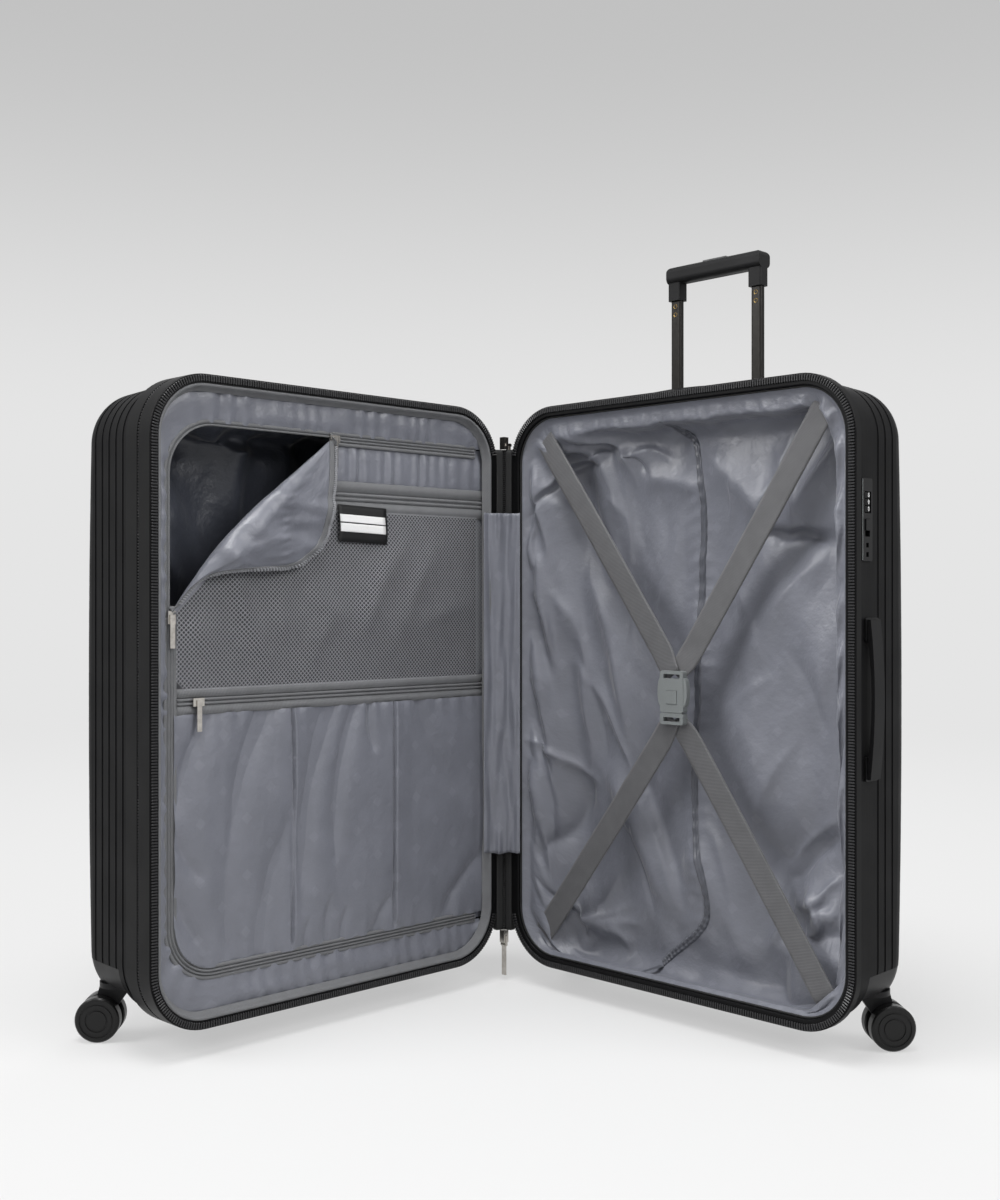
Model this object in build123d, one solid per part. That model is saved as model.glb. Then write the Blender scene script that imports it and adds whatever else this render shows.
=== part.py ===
from build123d import *
import math
import os

# Each half is drawn in its own frame: x runs from the spine to the outer side, y is the depth
# behind the rim plane, z runs up from the rim's lower edge. All lengths in mm.
CASE_WIDTH = 510
CASE_HEIGHT = 710
RIM_CORNER = 70
RIM_FACE = 13
RIM_LIP = 4
RIM_WALL = 6.5
FLOOR_TO_RIM = 30
HINGE_OFFSET = 10
SEAM_GAP = 3

# Moulded shells
BASE_BAND = 10
LID_BAND = 48
SHELL_DEPTH = 118
SHELL_WALL = 2.5
SHELL_STEP = 5
SHELL_DRAFT = 2.5
CROWN = 10
CROWN_ARCS = ((60, 6600), (100, 5900), (100, 6600), (110, 5900))
BACK_FILLET = 28
GROOVE_DEPTH = 0.8
BELT_WIDTH = 4
BELT_PITCH = 16
FACE_GROOVE_PITCH = 26

# Expander in the lid
LID_RIM_DEPTH = 22
COLLAR_START = 26
COLLAR_FACE = 8
CHAIN_INSET = 1
CHAIN_WIDTH = 4

# Lining, divider and pockets
LINING_INSET = 20
LINING_BACK = 68
LID_LINING_INSET = 15
LID_LINING_BACK = 150
CLOTH = 1.5
DIVIDER_DEPTH = 14
TRACK_LEFT = 478
TRACK_TOP = 655
TRACK_BOTTOM = 57
TRACK_CORNER = 55
FOLD_TOP = (258, 654)
FOLD_SIDE = (478, 446)
FOLD_TILT = 10

# Casters
SWIVEL_TO_FACE = 28
POCKET_REACH = 52
POCKET_TOP = 62
SEAT_UNDERSIDE = 36
SEAT_WALL = 3.2
STEM_RADIUS = 5
RUNNING_CLEARANCE = 0.05
WHEEL_RADIUS = 25
WHEEL_WIDTH = 15
WHEEL_INNER = 5.5
AXLE_RADIUS = 3
TRAIL = 20

# Trolley handle
HANDLE_CENTRE = CASE_WIDTH / 2
HANDLE_DEPTH = 100
TUBE_SPACING = 121
TUBE_CLEARANCE = 0.3
OUTER_TUBE = (21.4, 15.4)
MID_TUBE = (18, 12)
INNER_TUBE = (15, 9)
TRAY_FLOOR = 664
TRAY_HALF_LENGTH = 77
TRAY_HALF_WIDTH = 16
GRIP_TOP = 880
GRIP_LEG_END = 838

# Lock and carry handles on the walls of the base
LOCK_DEPTH = 28
LOCK_BOTTOM = 506
LOCK_TOP = 594
DIAL_RADIUS = 6.6
DIAL_CENTRE = CASE_WIDTH - 9
DIAL_HEIGHTS = (561.2, 568.5, 575.8)
CARRY_LENGTH = 170
CARRY_WIDTH = 20
CARRY_DEPTH = 37
CARRY_SIDE_START = 274
PEG_INSET = 11

# Straps and buckle
STRAP_WIDTH = 30
BUCKLE_CENTRE = 262


def box(u0, u1, w0, w1, v0, v1):
    """Box between two corners."""
    return Pos((u0 + u1) / 2, (w0 + w1) / 2, (v0 + v1) / 2) * Box(u1 - u0, w1 - w0, v1 - v0)


def rim_plane(w):
    """Plane parallel to the rim, in the middle of the case, facing into the depth."""
    return Plane(origin=(CASE_WIDTH / 2, w, CASE_HEIGHT / 2), x_dir=(1, 0, 0), z_dir=(0, 1, 0))


def prism(inset, w0, w1):
    """The rim's rounded outline, moved in by an inset, between two depths."""
    width = CASE_WIDTH - 2 * inset
    height = CASE_HEIGHT - 2 * inset
    face = rim_plane(w0) * RectangleRounded(width, height, RIM_CORNER - inset)
    return extrude(face, amount=w1 - w0)


def ring(inset_outer, inset_inner, w0, w1):
    """Frame that follows the rim's outline."""
    return prism(inset_outer, w0, w1) - prism(inset_inner, w0 - 1, w1 + 1)


def crowned_back(back):
    """Side view of a shell's back: tangent arcs from its middle upwards, then from its middle down."""
    arcs = []
    for up in (1, -1):
        start = (back, CASE_HEIGHT / 2)
        tangent = (0, up)
        for length, radius in CROWN_ARCS:
            arc = JernArc(start, tangent, radius, up * math.degrees(length / radius))
            arcs.append(arc)
            start = arc @ 1
            tangent = arc % 1
    return arcs


def shell_body(band, inset):
    """Drafted, crowned and filleted solid inside the shell's outer skin, moved in by an inset."""
    step = SHELL_STEP + inset
    start = rim_plane(band)
    face = start * RectangleRounded(
        CASE_WIDTH - 2 * step, CASE_HEIGHT - 2 * step, RIM_CORNER - step
    )
    drafted = extrude(face, amount=SHELL_DEPTH + 20, taper=SHELL_DRAFT)
    arcs = crowned_back(band + SHELL_DEPTH - inset)
    top = arcs[len(CROWN_ARCS) - 1] @ 1
    bottom = arcs[-1] @ 1
    sides = Polyline((top.X, top.Y), (band - 5, top.Y), (band - 5, bottom.Y), (bottom.X, bottom.Y))
    profile = Plane.YZ * make_face([*arcs, sides])
    solid = (drafted & extrude(profile, amount=CASE_WIDTH)).solids()[0]
    uses = {}
    for crowned in solid.faces():
        if crowned.normal_at(crowned.center()).Y > 0.9:
            for edge in crowned.edges():
                place = tuple(round(value, 1) for value in edge.center())
                uses.setdefault(place, []).append(edge)
    outline = [edges[0] for edges in uses.values() if len(edges) == 1]
    return solid.fillet(BACK_FILLET - inset, outline)


def swivel_depth(band):
    """Depth of the casters' swivel axes in a half."""
    return band + SHELL_DEPTH - CROWN - SWIVEL_TO_FACE


def swivel_inset():
    """Distance of the swivel axes from the spine or the outer side."""
    return SHELL_STEP + 4 + SWIVEL_TO_FACE


def wheel_pockets(band, grow):
    """The two corner spaces that the casters turn in."""
    across = swivel_inset() + POCKET_REACH + grow
    front = swivel_depth(band) - POCKET_REACH - grow
    top = POCKET_TOP + grow
    spine_side = box(-20, across, front, 260, -20, top)
    outer_side = box(CASE_WIDTH - across, CASE_WIDTH + 20, front, 260, -20, top)
    return [spine_side, outer_side]


def moulded_shell(band, belt_start, belt_count):
    """Thin shell with belt grooves round its walls, face grooves and wheel pockets."""
    outer = shell_body(band, 0)
    inner = shell_body(band, SHELL_WALL)
    skin = outer - shell_body(band, GROOVE_DEPTH)
    slabs = []
    for index in range(belt_count):
        start = belt_start + index * BELT_PITCH
        slabs.append(box(-20, CASE_WIDTH + 20, start, start + BELT_WIDTH, -20, CASE_HEIGHT + 20))
    face_start = band + SHELL_DEPTH - CROWN - 2
    count = 15
    first = CASE_WIDTH / 2 - (count - 1) / 2 * FACE_GROOVE_PITCH
    for index in range(count):
        middle = first + index * FACE_GROOVE_PITCH
        slabs.append(box(middle - 3, middle + 3, face_start, 260, 75, CASE_HEIGHT - 75))
    grooves = [skin & slab for slab in slabs]
    hollow = inner - wheel_pockets(band, SHELL_WALL)
    return outer - grooves - wheel_pockets(band, 0) - hollow


def caster_seats(band):
    """Moulded seats that fill the roofs of the two wheel pockets, bored for the stems."""
    body = shell_body(band, 0.3)
    core = shell_body(band, SEAT_WALL + 0.3)
    depth = swivel_depth(band)
    places = (swivel_inset(), CASE_WIDTH - swivel_inset())
    seats = []
    for u, pocket, inside in zip(places, wheel_pockets(band, -0.3), wheel_pockets(band, -0.3 - SEAT_WALL)):
        slab = box(-20, CASE_WIDTH + 20, 0, 260, SEAT_UNDERSIDE, POCKET_TOP + 5)
        room = box(-20, CASE_WIDTH + 20, 0, 260, SEAT_UNDERSIDE + 5, POCKET_TOP + 9)
        seat = (body & pocket & slab) - (core & room & pocket & Pos(0, 0, SEAT_WALL + 1) * inside)
        seat = seat + Pos(u, depth, SEAT_UNDERSIDE + 11) * Cylinder(2 * STEM_RADIUS, 22)
        bore = Pos(u, depth, SEAT_UNDERSIDE + 9) * Cylinder(STEM_RADIUS + RUNNING_CLEARANCE, 18)
        seats.append(seat - bore)
    return seats


def lining_tray(inset, front, back, fillet_radius, band, pocket_gap):
    """Thin cloth tray with a hem towards the rim, that stands clear of the wheel pockets."""
    outer = prism(inset, front, back).solids()[0]
    outer = outer.fillet(fillet_radius, outer.faces().sort_by(Axis.Y)[-1].edges())
    inner = prism(inset + CLOTH, front - 1, back - CLOTH).solids()[0]
    inner = inner.fillet(fillet_radius - CLOTH, inner.faces().sort_by(Axis.Y)[-1].edges())
    outer = outer - wheel_pockets(band, pocket_gap)
    tray = outer - (inner - wheel_pockets(band, pocket_gap + CLOTH))
    return tray + ring(RIM_WALL + 0.3, inset + CLOTH, front, front + CLOTH)


def place_base(shape):
    """Move a shape from the frame of one half to the base's place."""
    return Pos(HINGE_OFFSET, SEAM_GAP, FLOOR_TO_RIM) * shape


def place_lid(shape):
    """Mirror a shape from the frame of one half to the lid's place, opened by 90 degrees."""
    return Rot(0, 0, -90) * mirror(place_base(shape), about=Plane.XZ)


nodes = {}


def add_base(name, *shapes):
    """Keep a node that stands in the base's frame."""
    nodes[name] = [solid for shape in shapes for solid in place_base(shape).solids()]


def add_lid(name, *shapes):
    """Keep a node that stands in the lid's frame."""
    nodes[name] = [solid for shape in shapes for solid in place_lid(shape).solids()]


# Rims, chains and shells

spine_span = box(-20, 12, -10, 100, 60, CASE_HEIGHT - 60)
chain_end = CHAIN_INSET + CHAIN_WIDTH
front_chain = ring(CHAIN_INSET, chain_end, -2.6, 0) - spine_span


def rounded_rim(depth):
    """Angled rim frame, a lip and a wall behind it, with its front edges rounded."""
    frame = ring(0, RIM_FACE, 0, depth) - prism(RIM_WALL, RIM_LIP, depth + 1)
    frame = frame.solids()[0]
    front = frame.faces().sort_by(Axis.Y)[0]
    return frame.fillet(1.2, front.edges())


lock_opening = box(
    480, 540, LOCK_DEPTH - 10.2, LOCK_DEPTH + 10.2, LOCK_BOTTOM - 0.2, LOCK_TOP + 0.2
)
tray_opening = box(
    HANDLE_CENTRE - TRAY_HALF_LENGTH - 0.3,
    HANDLE_CENTRE + TRAY_HALF_LENGTH + 0.3,
    HANDLE_DEPTH - TRAY_HALF_WIDTH - 0.3,
    HANDLE_DEPTH + TRAY_HALF_WIDTH + 0.3,
    TRAY_FLOOR - 2,
    CASE_HEIGHT + 20,
)

wall_inset = SHELL_STEP + (CARRY_DEPTH - BASE_BAND) * math.tan(math.radians(SHELL_DRAFT))
side_wall = Plane(
    origin=(CASE_WIDTH - wall_inset, CARRY_DEPTH, CARRY_SIDE_START + CARRY_LENGTH / 2),
    x_dir=(0, 0, 1),
    z_dir=(1, 0, 0),
).location
top_wall = Plane(
    origin=(CASE_WIDTH / 2, CARRY_DEPTH, CASE_HEIGHT - wall_inset),
    x_dir=(1, 0, 0),
    z_dir=(0, 0, 1),
).location
peg_places = (-CARRY_LENGTH / 2 + PEG_INSET, CARRY_LENGTH / 2 - PEG_INSET)
peg_holes = [Pos(x, 0, 0) * Box(17, 15, 30) for x in peg_places]

base_shell = moulded_shell(BASE_BAND, BASE_BAND + 42, 3)
base_shell = base_shell - lock_opening - tray_opening
for wall in (side_wall, top_wall):
    base_shell = base_shell - [wall * hole for hole in peg_holes]
add_base("base_shell", base_shell)
add_base("base_rim", rounded_rim(BASE_BAND))
add_base("base_zipper", front_chain)
add_base("base_caster_seats", *caster_seats(BASE_BAND))
add_base(
    "base_lining",
    lining_tray(LINING_INSET, RIM_LIP + 0.2, LINING_BACK, 25, BASE_BAND, 6),
)

add_lid("lid_shell", moulded_shell(LID_BAND, LID_BAND + 14, 5))
add_lid("lid_rim", rounded_rim(LID_RIM_DEPTH))
add_lid("lid_zipper", front_chain)
flange_start = LID_BAND - RIM_LIP
collar = ring(0, COLLAR_FACE, COLLAR_START, LID_BAND) - prism(RIM_WALL, COLLAR_START - 1, flange_start)
add_lid("lid_collar", collar)
add_lid("lid_caster_seats", *caster_seats(LID_BAND))
add_lid(
    "lid_lining",
    lining_tray(LID_LINING_INSET, flange_start - CLOTH - 0.2, LID_LINING_BACK, 22, LID_BAND, 4),
)
add_lid("expander_chain_rim", ring(CHAIN_INSET, chain_end, LID_RIM_DEPTH, LID_RIM_DEPTH + 1.8))
add_lid("expander_chain_collar", ring(CHAIN_INSET, chain_end, COLLAR_START - 1.8, COLLAR_START))
add_lid("expander_gusset", ring(chain_end + 0.2, RIM_WALL, LID_RIM_DEPTH + 0.1, COLLAR_START - 0.1))

# Divider in the lid, with its zipped track, pockets and the corner that is folded down


def track_prism(offset, w0, w1):
    """Outline of the divider's zipper track, open towards the spine."""
    length = 650
    height = TRACK_TOP - TRACK_BOTTOM
    middle = (TRACK_LEFT - length / 2, (TRACK_TOP + TRACK_BOTTOM) / 2)
    plane = Plane(origin=(middle[0], w0, middle[1]), x_dir=(1, 0, 0), z_dir=(0, 1, 0))
    face = plane * RectangleRounded(
        length + 2 * offset, height + 2 * offset, TRACK_CORNER + offset
    )
    return extrude(face, amount=w1 - w0)


def beyond_fold(shift, w0, w1):
    """Everything on the corner's side of the fold line, moved towards the corner by a shift."""
    (u0, v0), (u1, v1) = FOLD_TOP, FOLD_SIDE
    length = math.hypot(u1 - u0, v1 - v0)
    along = ((u1 - u0) / length, (v1 - v0) / length)
    away = (-along[1], along[0])
    a = (u0 - 200 * along[0] + shift * away[0], v0 - 200 * along[1] + shift * away[1])
    b = (u1 + 200 * along[0] + shift * away[0], v1 + 200 * along[1] + shift * away[1])
    c = (b[0] + 500 * away[0], b[1] + 500 * away[1])
    d = (a[0] + 500 * away[0], a[1] + 500 * away[1])
    plane = Plane(origin=(0, w0, 0), x_dir=(1, 0, 0), z_dir=(0, -1, 0))
    face = plane * make_face(Polyline(a, b, c, d, close=True))
    return extrude(face, amount=-(w1 - w0))


unzipped = track_prism(0, 0, 40) & beyond_fold(0, 0, 40)
panel_front = DIVIDER_DEPTH - 0.3
tape_front = panel_front - 1.5
panel = prism(RIM_WALL + 0.3, DIVIDER_DEPTH, DIVIDER_DEPTH + CLOTH) - unzipped
track = track_prism(7, tape_front, panel_front) - track_prism(-7, 0, 40)
loose = track_prism(0, 0, 40) & beyond_fold(-4, 0, 40)
track = (track & box(28, 600, 0, 40, 0, 800)) - loose
within = track_prism(-7.3, 0, 40)
pocket_track = box(34, 468, tape_front - 1, panel_front, 341, 367)
mesh = (box(34, 468, tape_front, panel_front, 368, 604) & within) - beyond_fold(-4, 0, 40)
pleats = box(34, 468, panel_front - 4, panel_front, 66, 340) & within
for fold in (174, 324):
    pleats = pleats - box(fold - 1, fold + 1, 0, panel_front - 2.5, 66, 334)

fold_along = Vector(FOLD_SIDE[0] - FOLD_TOP[0], 0, FOLD_SIDE[1] - FOLD_TOP[1])
fold_axis = Axis((FOLD_TOP[0], 11, FOLD_TOP[1]), fold_along)
corner = track_prism(-1, 11, 11 + CLOTH) & beyond_fold(0, 0, 40)
flap = corner.solids()[0].rotate(fold_axis, 180 + FOLD_TILT)
if flap.center().Y > 11:
    flap = corner.solids()[0].rotate(fold_axis, 180 - FOLD_TILT)
slider_keep_out = [
    box(FOLD_TOP[0] - 8, FOLD_TOP[0] + 14, 0, 40, FOLD_TOP[1] - 36, FOLD_TOP[1] + 20),
    box(FOLD_SIDE[0] - 9, FOLD_SIDE[0] + 20, 0, 40, FOLD_SIDE[1] - 42, FOLD_SIDE[1] + 12),
]
roll_plane = Plane(origin=(FOLD_TOP[0], 11.7, FOLD_TOP[1]), z_dir=fold_along)
roll = extrude(roll_plane * Circle(2.1), amount=fold_along.length)
flap = (flap + roll) - slider_keep_out


def track_slider(u, v, turned):
    """Zipper slider with its hanging pull on the divider's track."""
    body = box(u - 4.5, u + 4.5, tape_front - 4, tape_front - 0.3, v - 7, v + 7)
    if turned:
        body = box(u - 7, u + 7, tape_front - 4, tape_front - 0.3, v - 4.5, v + 4.5)
    pull = box(u - 3, u + 3, tape_front - 5.5, tape_front - 4, v - 33, v + 3)
    return body + pull


add_lid("divider_panel", panel)
add_lid("divider_zippers", track, pocket_track)
add_lid("mesh_pocket", mesh)
add_lid("pleat_pocket", pleats)
add_lid("divider_flap", flap)
add_lid(
    "divider_sliders",
    track_slider(FOLD_TOP[0], FOLD_TOP[1], True),
    track_slider(FOLD_SIDE[0], FOLD_SIDE[1], False),
)
slider_back = tape_front - 1.3
pocket_slider = box(438, 452, slider_back - 3.5, slider_back, 349.5, 358.5)
pocket_slider = pocket_slider + box(442, 448, slider_back - 5, slider_back - 3.5, 322, 356)
add_lid("pocket_slider", pocket_slider)

# Spine: tape with the closed chain on the hinge axis, inner gusset cloth, parked sliders

tape_path = Polyline((9.4, 10), (9.4, 3.5), (0, 0), (-3.5, -9.4), (-10, -9.4))
tape = extrude(Plane.XY * trace(tape_path, 1.2), amount=624)
chain = Pos(0, 0, 312) * Cylinder(2, 624)
nodes["hinge_tape"] = (Pos(0, 0, 66) * (tape + chain)).solids()

gusset_path = ThreePointArc((22.6, 2.1), (7.5, -9), (-2.1, -25.5))
gusset = extrude(Plane.XY * trace(gusset_path, 1.2), amount=439)
nodes["spine_gusset"] = (Pos(0, 0, 168) * gusset).solids()


def spine_slider(z, bar_offset, bar_drop):
    """Slider body with two lugs and a bar for its pull."""
    body = Pos(0, 0, z) * Box(8, 8, 16)
    bar = Pos(0, bar_offset, z + bar_drop) * Rot(0, 90, 0) * Cylinder(1, 10)
    for side in (-4.3, 4.3):
        if bar_offset:
            lug = Pos(side, bar_offset / 2, z + bar_drop) * Box(1.4, bar_offset + 2, 3)
        else:
            lug = Pos(side, 0, z + bar_drop / 2) * Box(1.4, 3, -bar_drop + 2)
        body = body + lug
    return body + bar


def spine_pull(z, bar_offset, length):
    """Flat pull that hangs from a slider's bar."""
    plate = Pos(0, bar_offset, z - length / 2 + 2.5) * Box(6.6, 2, length)
    eye = Pos(0, bar_offset, z) * Rot(0, 90, 0) * Cylinder(2.4, 6.6)
    hole = Pos(0, bar_offset, z) * Rot(0, 90, 0) * Cylinder(1.08, 20)
    return (plate + eye) - hole


upper_slider = spine_slider(698.5, 8, -2)
lower_slider = spine_slider(57.5, 0, -11)
nodes["zipper_sliders"] = [*upper_slider.solids(), *lower_slider.solids()]
nodes["zipper_pull_upper"] = spine_pull(696.5, 8, 44).solids()
nodes["zipper_pull_lower"] = spine_pull(46.5, 0, 42).solids()

# Cross straps and buckle in the base

strap_room = prism(LINING_INSET + CLOTH + 0.3, 0, 60)


def strap(corner, end, w0):
    """Flat webbing from a corner of the lining to the buckle."""
    du = end[0] - corner[0]
    dv = end[1] - corner[1]
    length = math.hypot(du, dv) + 60
    angle = math.degrees(math.atan2(dv, du))
    middle = Pos((corner[0] + end[0]) / 2, w0 + 0.7, (corner[1] + end[1]) / 2)
    return (middle * Rot(0, -angle, 0) * Box(length, 1.4, STRAP_WIDTH)) & strap_room


above = box(0, CASE_WIDTH, 0, 60, 370, 800)
below = box(0, CASE_WIDTH, 0, 60, -50, 331)
left_end = BUCKLE_CENTRE - 3
right_end = BUCKLE_CENTRE + 3
add_base(
    "strap_upper",
    strap((44, 672), (left_end, 378), 12) & above,
    strap((476, 668), (right_end, 378), 13.7) & above,
)
add_base(
    "strap_lower",
    strap((34, 44), (left_end, 324), 12) & below,
    strap((470, 38), (right_end, 324), 13.7) & below,
)

bu = BUCKLE_CENTRE
socket = box(bu - 17, bu + 17, 3, 11.7, 333, 382)
socket = socket.fillet(3, socket.edges().filter_by(Axis.Y))
socket = socket - box(bu - 12, bu + 12, 0, 20, 373, 378)
socket = socket - box(bu - 12.5, bu + 12.5, 5, 10, 330, 366)
socket = socket - box(bu - 8, bu + 8, 0, 6, 343, 359)
plug = box(bu - 17, bu + 17, 3, 11.7, 319, 332.5)
plug = plug.fillet(3, plug.edges().filter_by(Axis.Y))
plug = plug - box(bu - 12, bu + 12, 0, 20, 322.5, 327.5)
plug = plug + box(bu - 12, bu + 12, 5.3, 9.7, 332, 364)
plug = plug - box(bu - 9.5, bu + 9.5, 0, 20, 341, 361)
add_base("buckle_socket", socket)
add_base("buckle_plug", plug)
add_base("buckle_button", box(bu - 7.7, bu + 7.7, 2.3, 5.6, 343.3, 358.7))

# Trolley handle

tube_places = (HANDLE_CENTRE - TUBE_SPACING / 2, HANDLE_CENTRE + TUBE_SPACING / 2)


def tube_pair(size, hole, v0, v1):
    """Two flat oval tubes, or solid bars without a hole."""
    pair = []
    for u in tube_places:
        outer = Pos(u, HANDLE_DEPTH, v0) * extrude(RectangleRounded(*size, 3), amount=v1 - v0)
        if hole:
            inside = Pos(u, HANDLE_DEPTH, v0 - 1) * extrude(RectangleRounded(*hole, 2), amount=v1 - v0 + 2)
            outer = outer - inside
        pair.append(outer)
    return pair


def grown(size, margin):
    """A tube's section, larger by a margin on every side."""
    return (size[0] + 2 * margin, size[1] + 2 * margin)


mid_hole = grown(MID_TUBE, TUBE_CLEARANCE)
inner_hole = grown(INNER_TUBE, TUBE_CLEARANCE)
inner_bore = grown(INNER_TUBE, -1.2)
add_base("handle_outer_tubes", *tube_pair(OUTER_TUBE, mid_hole, 40, TRAY_FLOOR))
add_base("handle_mid_tubes", *tube_pair(MID_TUBE, inner_hole, 60, TRAY_FLOOR + 4))
add_base("handle_inner_tubes", *tube_pair(INNER_TUBE, inner_bore, 255, GRIP_TOP - 22))

hc = HANDLE_CENTRE
hd = HANDLE_DEPTH
tray = box(hc - 77, hc + 77, hd - 16, hd + 16, TRAY_FLOOR, CASE_HEIGHT) & shell_body(BASE_BAND, -0.6)
tray = tray - box(hc - 75, hc + 75, hd - 14, hd + 14, TRAY_FLOOR + 3, CASE_HEIGHT + 20)
for u in tube_places:
    section = RectangleRounded(*mid_hole, 2)
    tray = tray - Pos(u, hd, TRAY_FLOOR - 5) * extrude(section, amount=20)
add_base("handle_tray", tray)
foot = box(hc - 76, hc + 76, hd - 11, hd + 11, 0, 40) & shell_body(BASE_BAND, SHELL_WALL + 0.3)
add_base("handle_foot", foot)

grip = box(hc - 70, hc + 70, hd - 11, hd + 11, GRIP_TOP - 21, GRIP_TOP)
grip = grip.fillet(7, grip.edges().filter_by(Axis.X) + grip.edges().filter_by(Axis.Y).sort_by(Axis.Z)[-2:])
for u in tube_places:
    leg = box(u - 9.5, u + 9.5, hd - 8, hd + 8, GRIP_LEG_END, GRIP_TOP - 14)
    leg = leg.fillet(3, leg.edges().filter_by(Axis.Z))
    grip = grip + leg
for u in tube_places:
    section = RectangleRounded(*grown(INNER_TUBE, 0.05), 3)
    grip = grip - Pos(u, hd, GRIP_LEG_END - 5) * extrude(section, amount=GRIP_TOP - 22 + 5 - GRIP_LEG_END)
grip = grip - box(hc - 17.8, hc + 17.8, hd - 5.8, hd + 5.8, GRIP_TOP - 8, GRIP_TOP + 5)
add_base("handle_grip", grip)
button = box(hc - 17.5, hc + 17.5, hd - 5.5, hd + 5.5, GRIP_TOP - 4, GRIP_TOP + 1.6)
add_base("handle_button", button.fillet(1.2, button.faces().sort_by(Axis.Z)[-1].edges()))

# Combination lock

lock_face = CASE_WIDTH - 3.6
lock_back = CASE_WIDTH - 17.5
case = box(lock_back, lock_face, LOCK_DEPTH - 10, LOCK_DEPTH + 10, LOCK_BOTTOM, LOCK_TOP)
case = case.fillet(2, case.edges().filter_by(Axis.X))
case = case - box(DIAL_CENTRE - 7, 540, LOCK_DEPTH - 7.2, LOCK_DEPTH + 7.2, 557, 580)
case = case - box(lock_face - 5, 540, LOCK_DEPTH - 4.8, LOCK_DEPTH + 4.8, 532, 551)
for v in (513, 523):
    case = case - box(lock_face - 6, 540, LOCK_DEPTH - 2.5, LOCK_DEPTH + 2.5, v - 2.5, v + 2.5)
shaft_place = Pos(DIAL_CENTRE, LOCK_DEPTH, 568.5)
case = case - shaft_place * Cylinder(1.5 + RUNNING_CLEARANCE, 31)
add_base("lock_case", case)
add_base("dial_shaft", shaft_place * Cylinder(1.5, 31))
for number, v in enumerate(DIAL_HEIGHTS, 1):
    facets = extrude(RegularPolygon(DIAL_RADIUS, 10), amount=3.2, both=True)
    dial = facets - Cylinder(1.5 + RUNNING_CLEARANCE, 20)
    add_base(f"lock_dial_{number}", Pos(DIAL_CENTRE, LOCK_DEPTH, v) * dial)
latch = box(lock_face - 4.5, lock_face + 1.4, LOCK_DEPTH - 4.5, LOCK_DEPTH + 4.5, 538.5, 550.5)
add_base("lock_latch", latch)

# Carry handles on the side and top walls


def carry_handle():
    """Bowed grip with a peg and a retaining foot at each end, drawn on a flat wall."""
    half = CARRY_LENGTH / 2
    outline = make_face(
        [
            ThreePointArc((-half, 7), (0, 12), (half, 7)),
            Line((half, 7), (half, 3.5)),
            Line((half, 3.5), (half - 20, 3.5)),
            ThreePointArc((half - 20, 3.5), (0, 8), (-half + 20, 3.5)),
            Line((-half + 20, 3.5), (-half, 3.5)),
            Line((-half, 3.5), (-half, 7)),
        ]
    )
    bow = extrude(Plane.XZ * outline, amount=CARRY_WIDTH / 2, both=True)
    for x in peg_places:
        bow = bow + Pos(x, 0, -2.5) * Box(10, 8, 16)
        bow = bow + Pos(x, 0, -10.5) * Box(14, 12, 2)
    return bow


def carry_mounts():
    """Escutcheons on the wall that guide the pegs."""
    mounts = []
    for x in peg_places:
        plate = Pos(x, 0, 0) * Box(26, 26, 6)
        plate = plate.fillet(3, plate.edges().filter_by(Axis.Z))
        mounts.append(plate - Pos(x, 0, 0) * Box(10.6, 8.6, 30))
    return mounts


add_base("side_carry_handle", side_wall * carry_handle())
add_base("top_carry_handle", top_wall * carry_handle())
outside = shell_body(BASE_BAND, -0.1)
add_base(
    "carry_handle_mounts",
    *[side_wall * mount - outside for mount in carry_mounts()],
    *[top_wall * mount - outside for mount in carry_mounts()],
)

# Casters, drawn with the swivel axis at the origin, the floor at zero and the trail along x

disc_top = FLOOR_TO_RIM + SEAT_UNDERSIDE - 0.3


def caster_fork():
    """Swivelling fork with its stem, and the axle in it."""
    disc = Pos(0, 0, disc_top - 3) * Cylinder(21, 6)
    stem = Pos(0, 0, disc_top + 8) * Cylinder(STEM_RADIUS, 16)
    plate = Polygon((-17, disc_top - 4), (20, disc_top - 4), (29, 27), (11.5, 22), align=None)
    outline = Plane.XZ * (plate + Pos(TRAIL, WHEEL_RADIUS) * Circle(9))
    web = extrude(outline, amount=5, both=True)
    across = Pos(TRAIL, 0, WHEEL_RADIUS) * Rot(90, 0, 0)
    hole = across * Cylinder(AXLE_RADIUS + RUNNING_CLEARANCE, 40)
    axle = across * Cylinder(AXLE_RADIUS, 2 * (WHEEL_INNER + 11))
    return [disc + stem + web - hole, axle]


def caster_wheel():
    """Wheel with a rounded tread, ringed outer face and a blind bore for the axle."""
    inner = WHEEL_INNER
    face = WHEEL_INNER + WHEEL_WIDTH
    bore = AXLE_RADIUS + RUNNING_CLEARANCE
    r = WHEEL_RADIUS
    points = [
        (bore, inner), (r - 1.5, inner), (r, inner + 1.5), (r, face - 2.5), (r - 1.5, face - 0.7),
        (r - 4, face), (r - 5.5, face), (r - 5.5, face - 1.2), (r - 8, face - 1.2), (r - 8, face),
        (13, face), (13, face - 1.2), (10.5, face - 1.2), (10.5, face), (0, face),
        (0, inner + 11.6), (bore, inner + 11.6),
    ]
    turned = revolve(make_face(Polyline(*points, close=True)), Axis.Y)
    return Pos(TRAIL, 0, WHEEL_RADIUS) * turned


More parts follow.
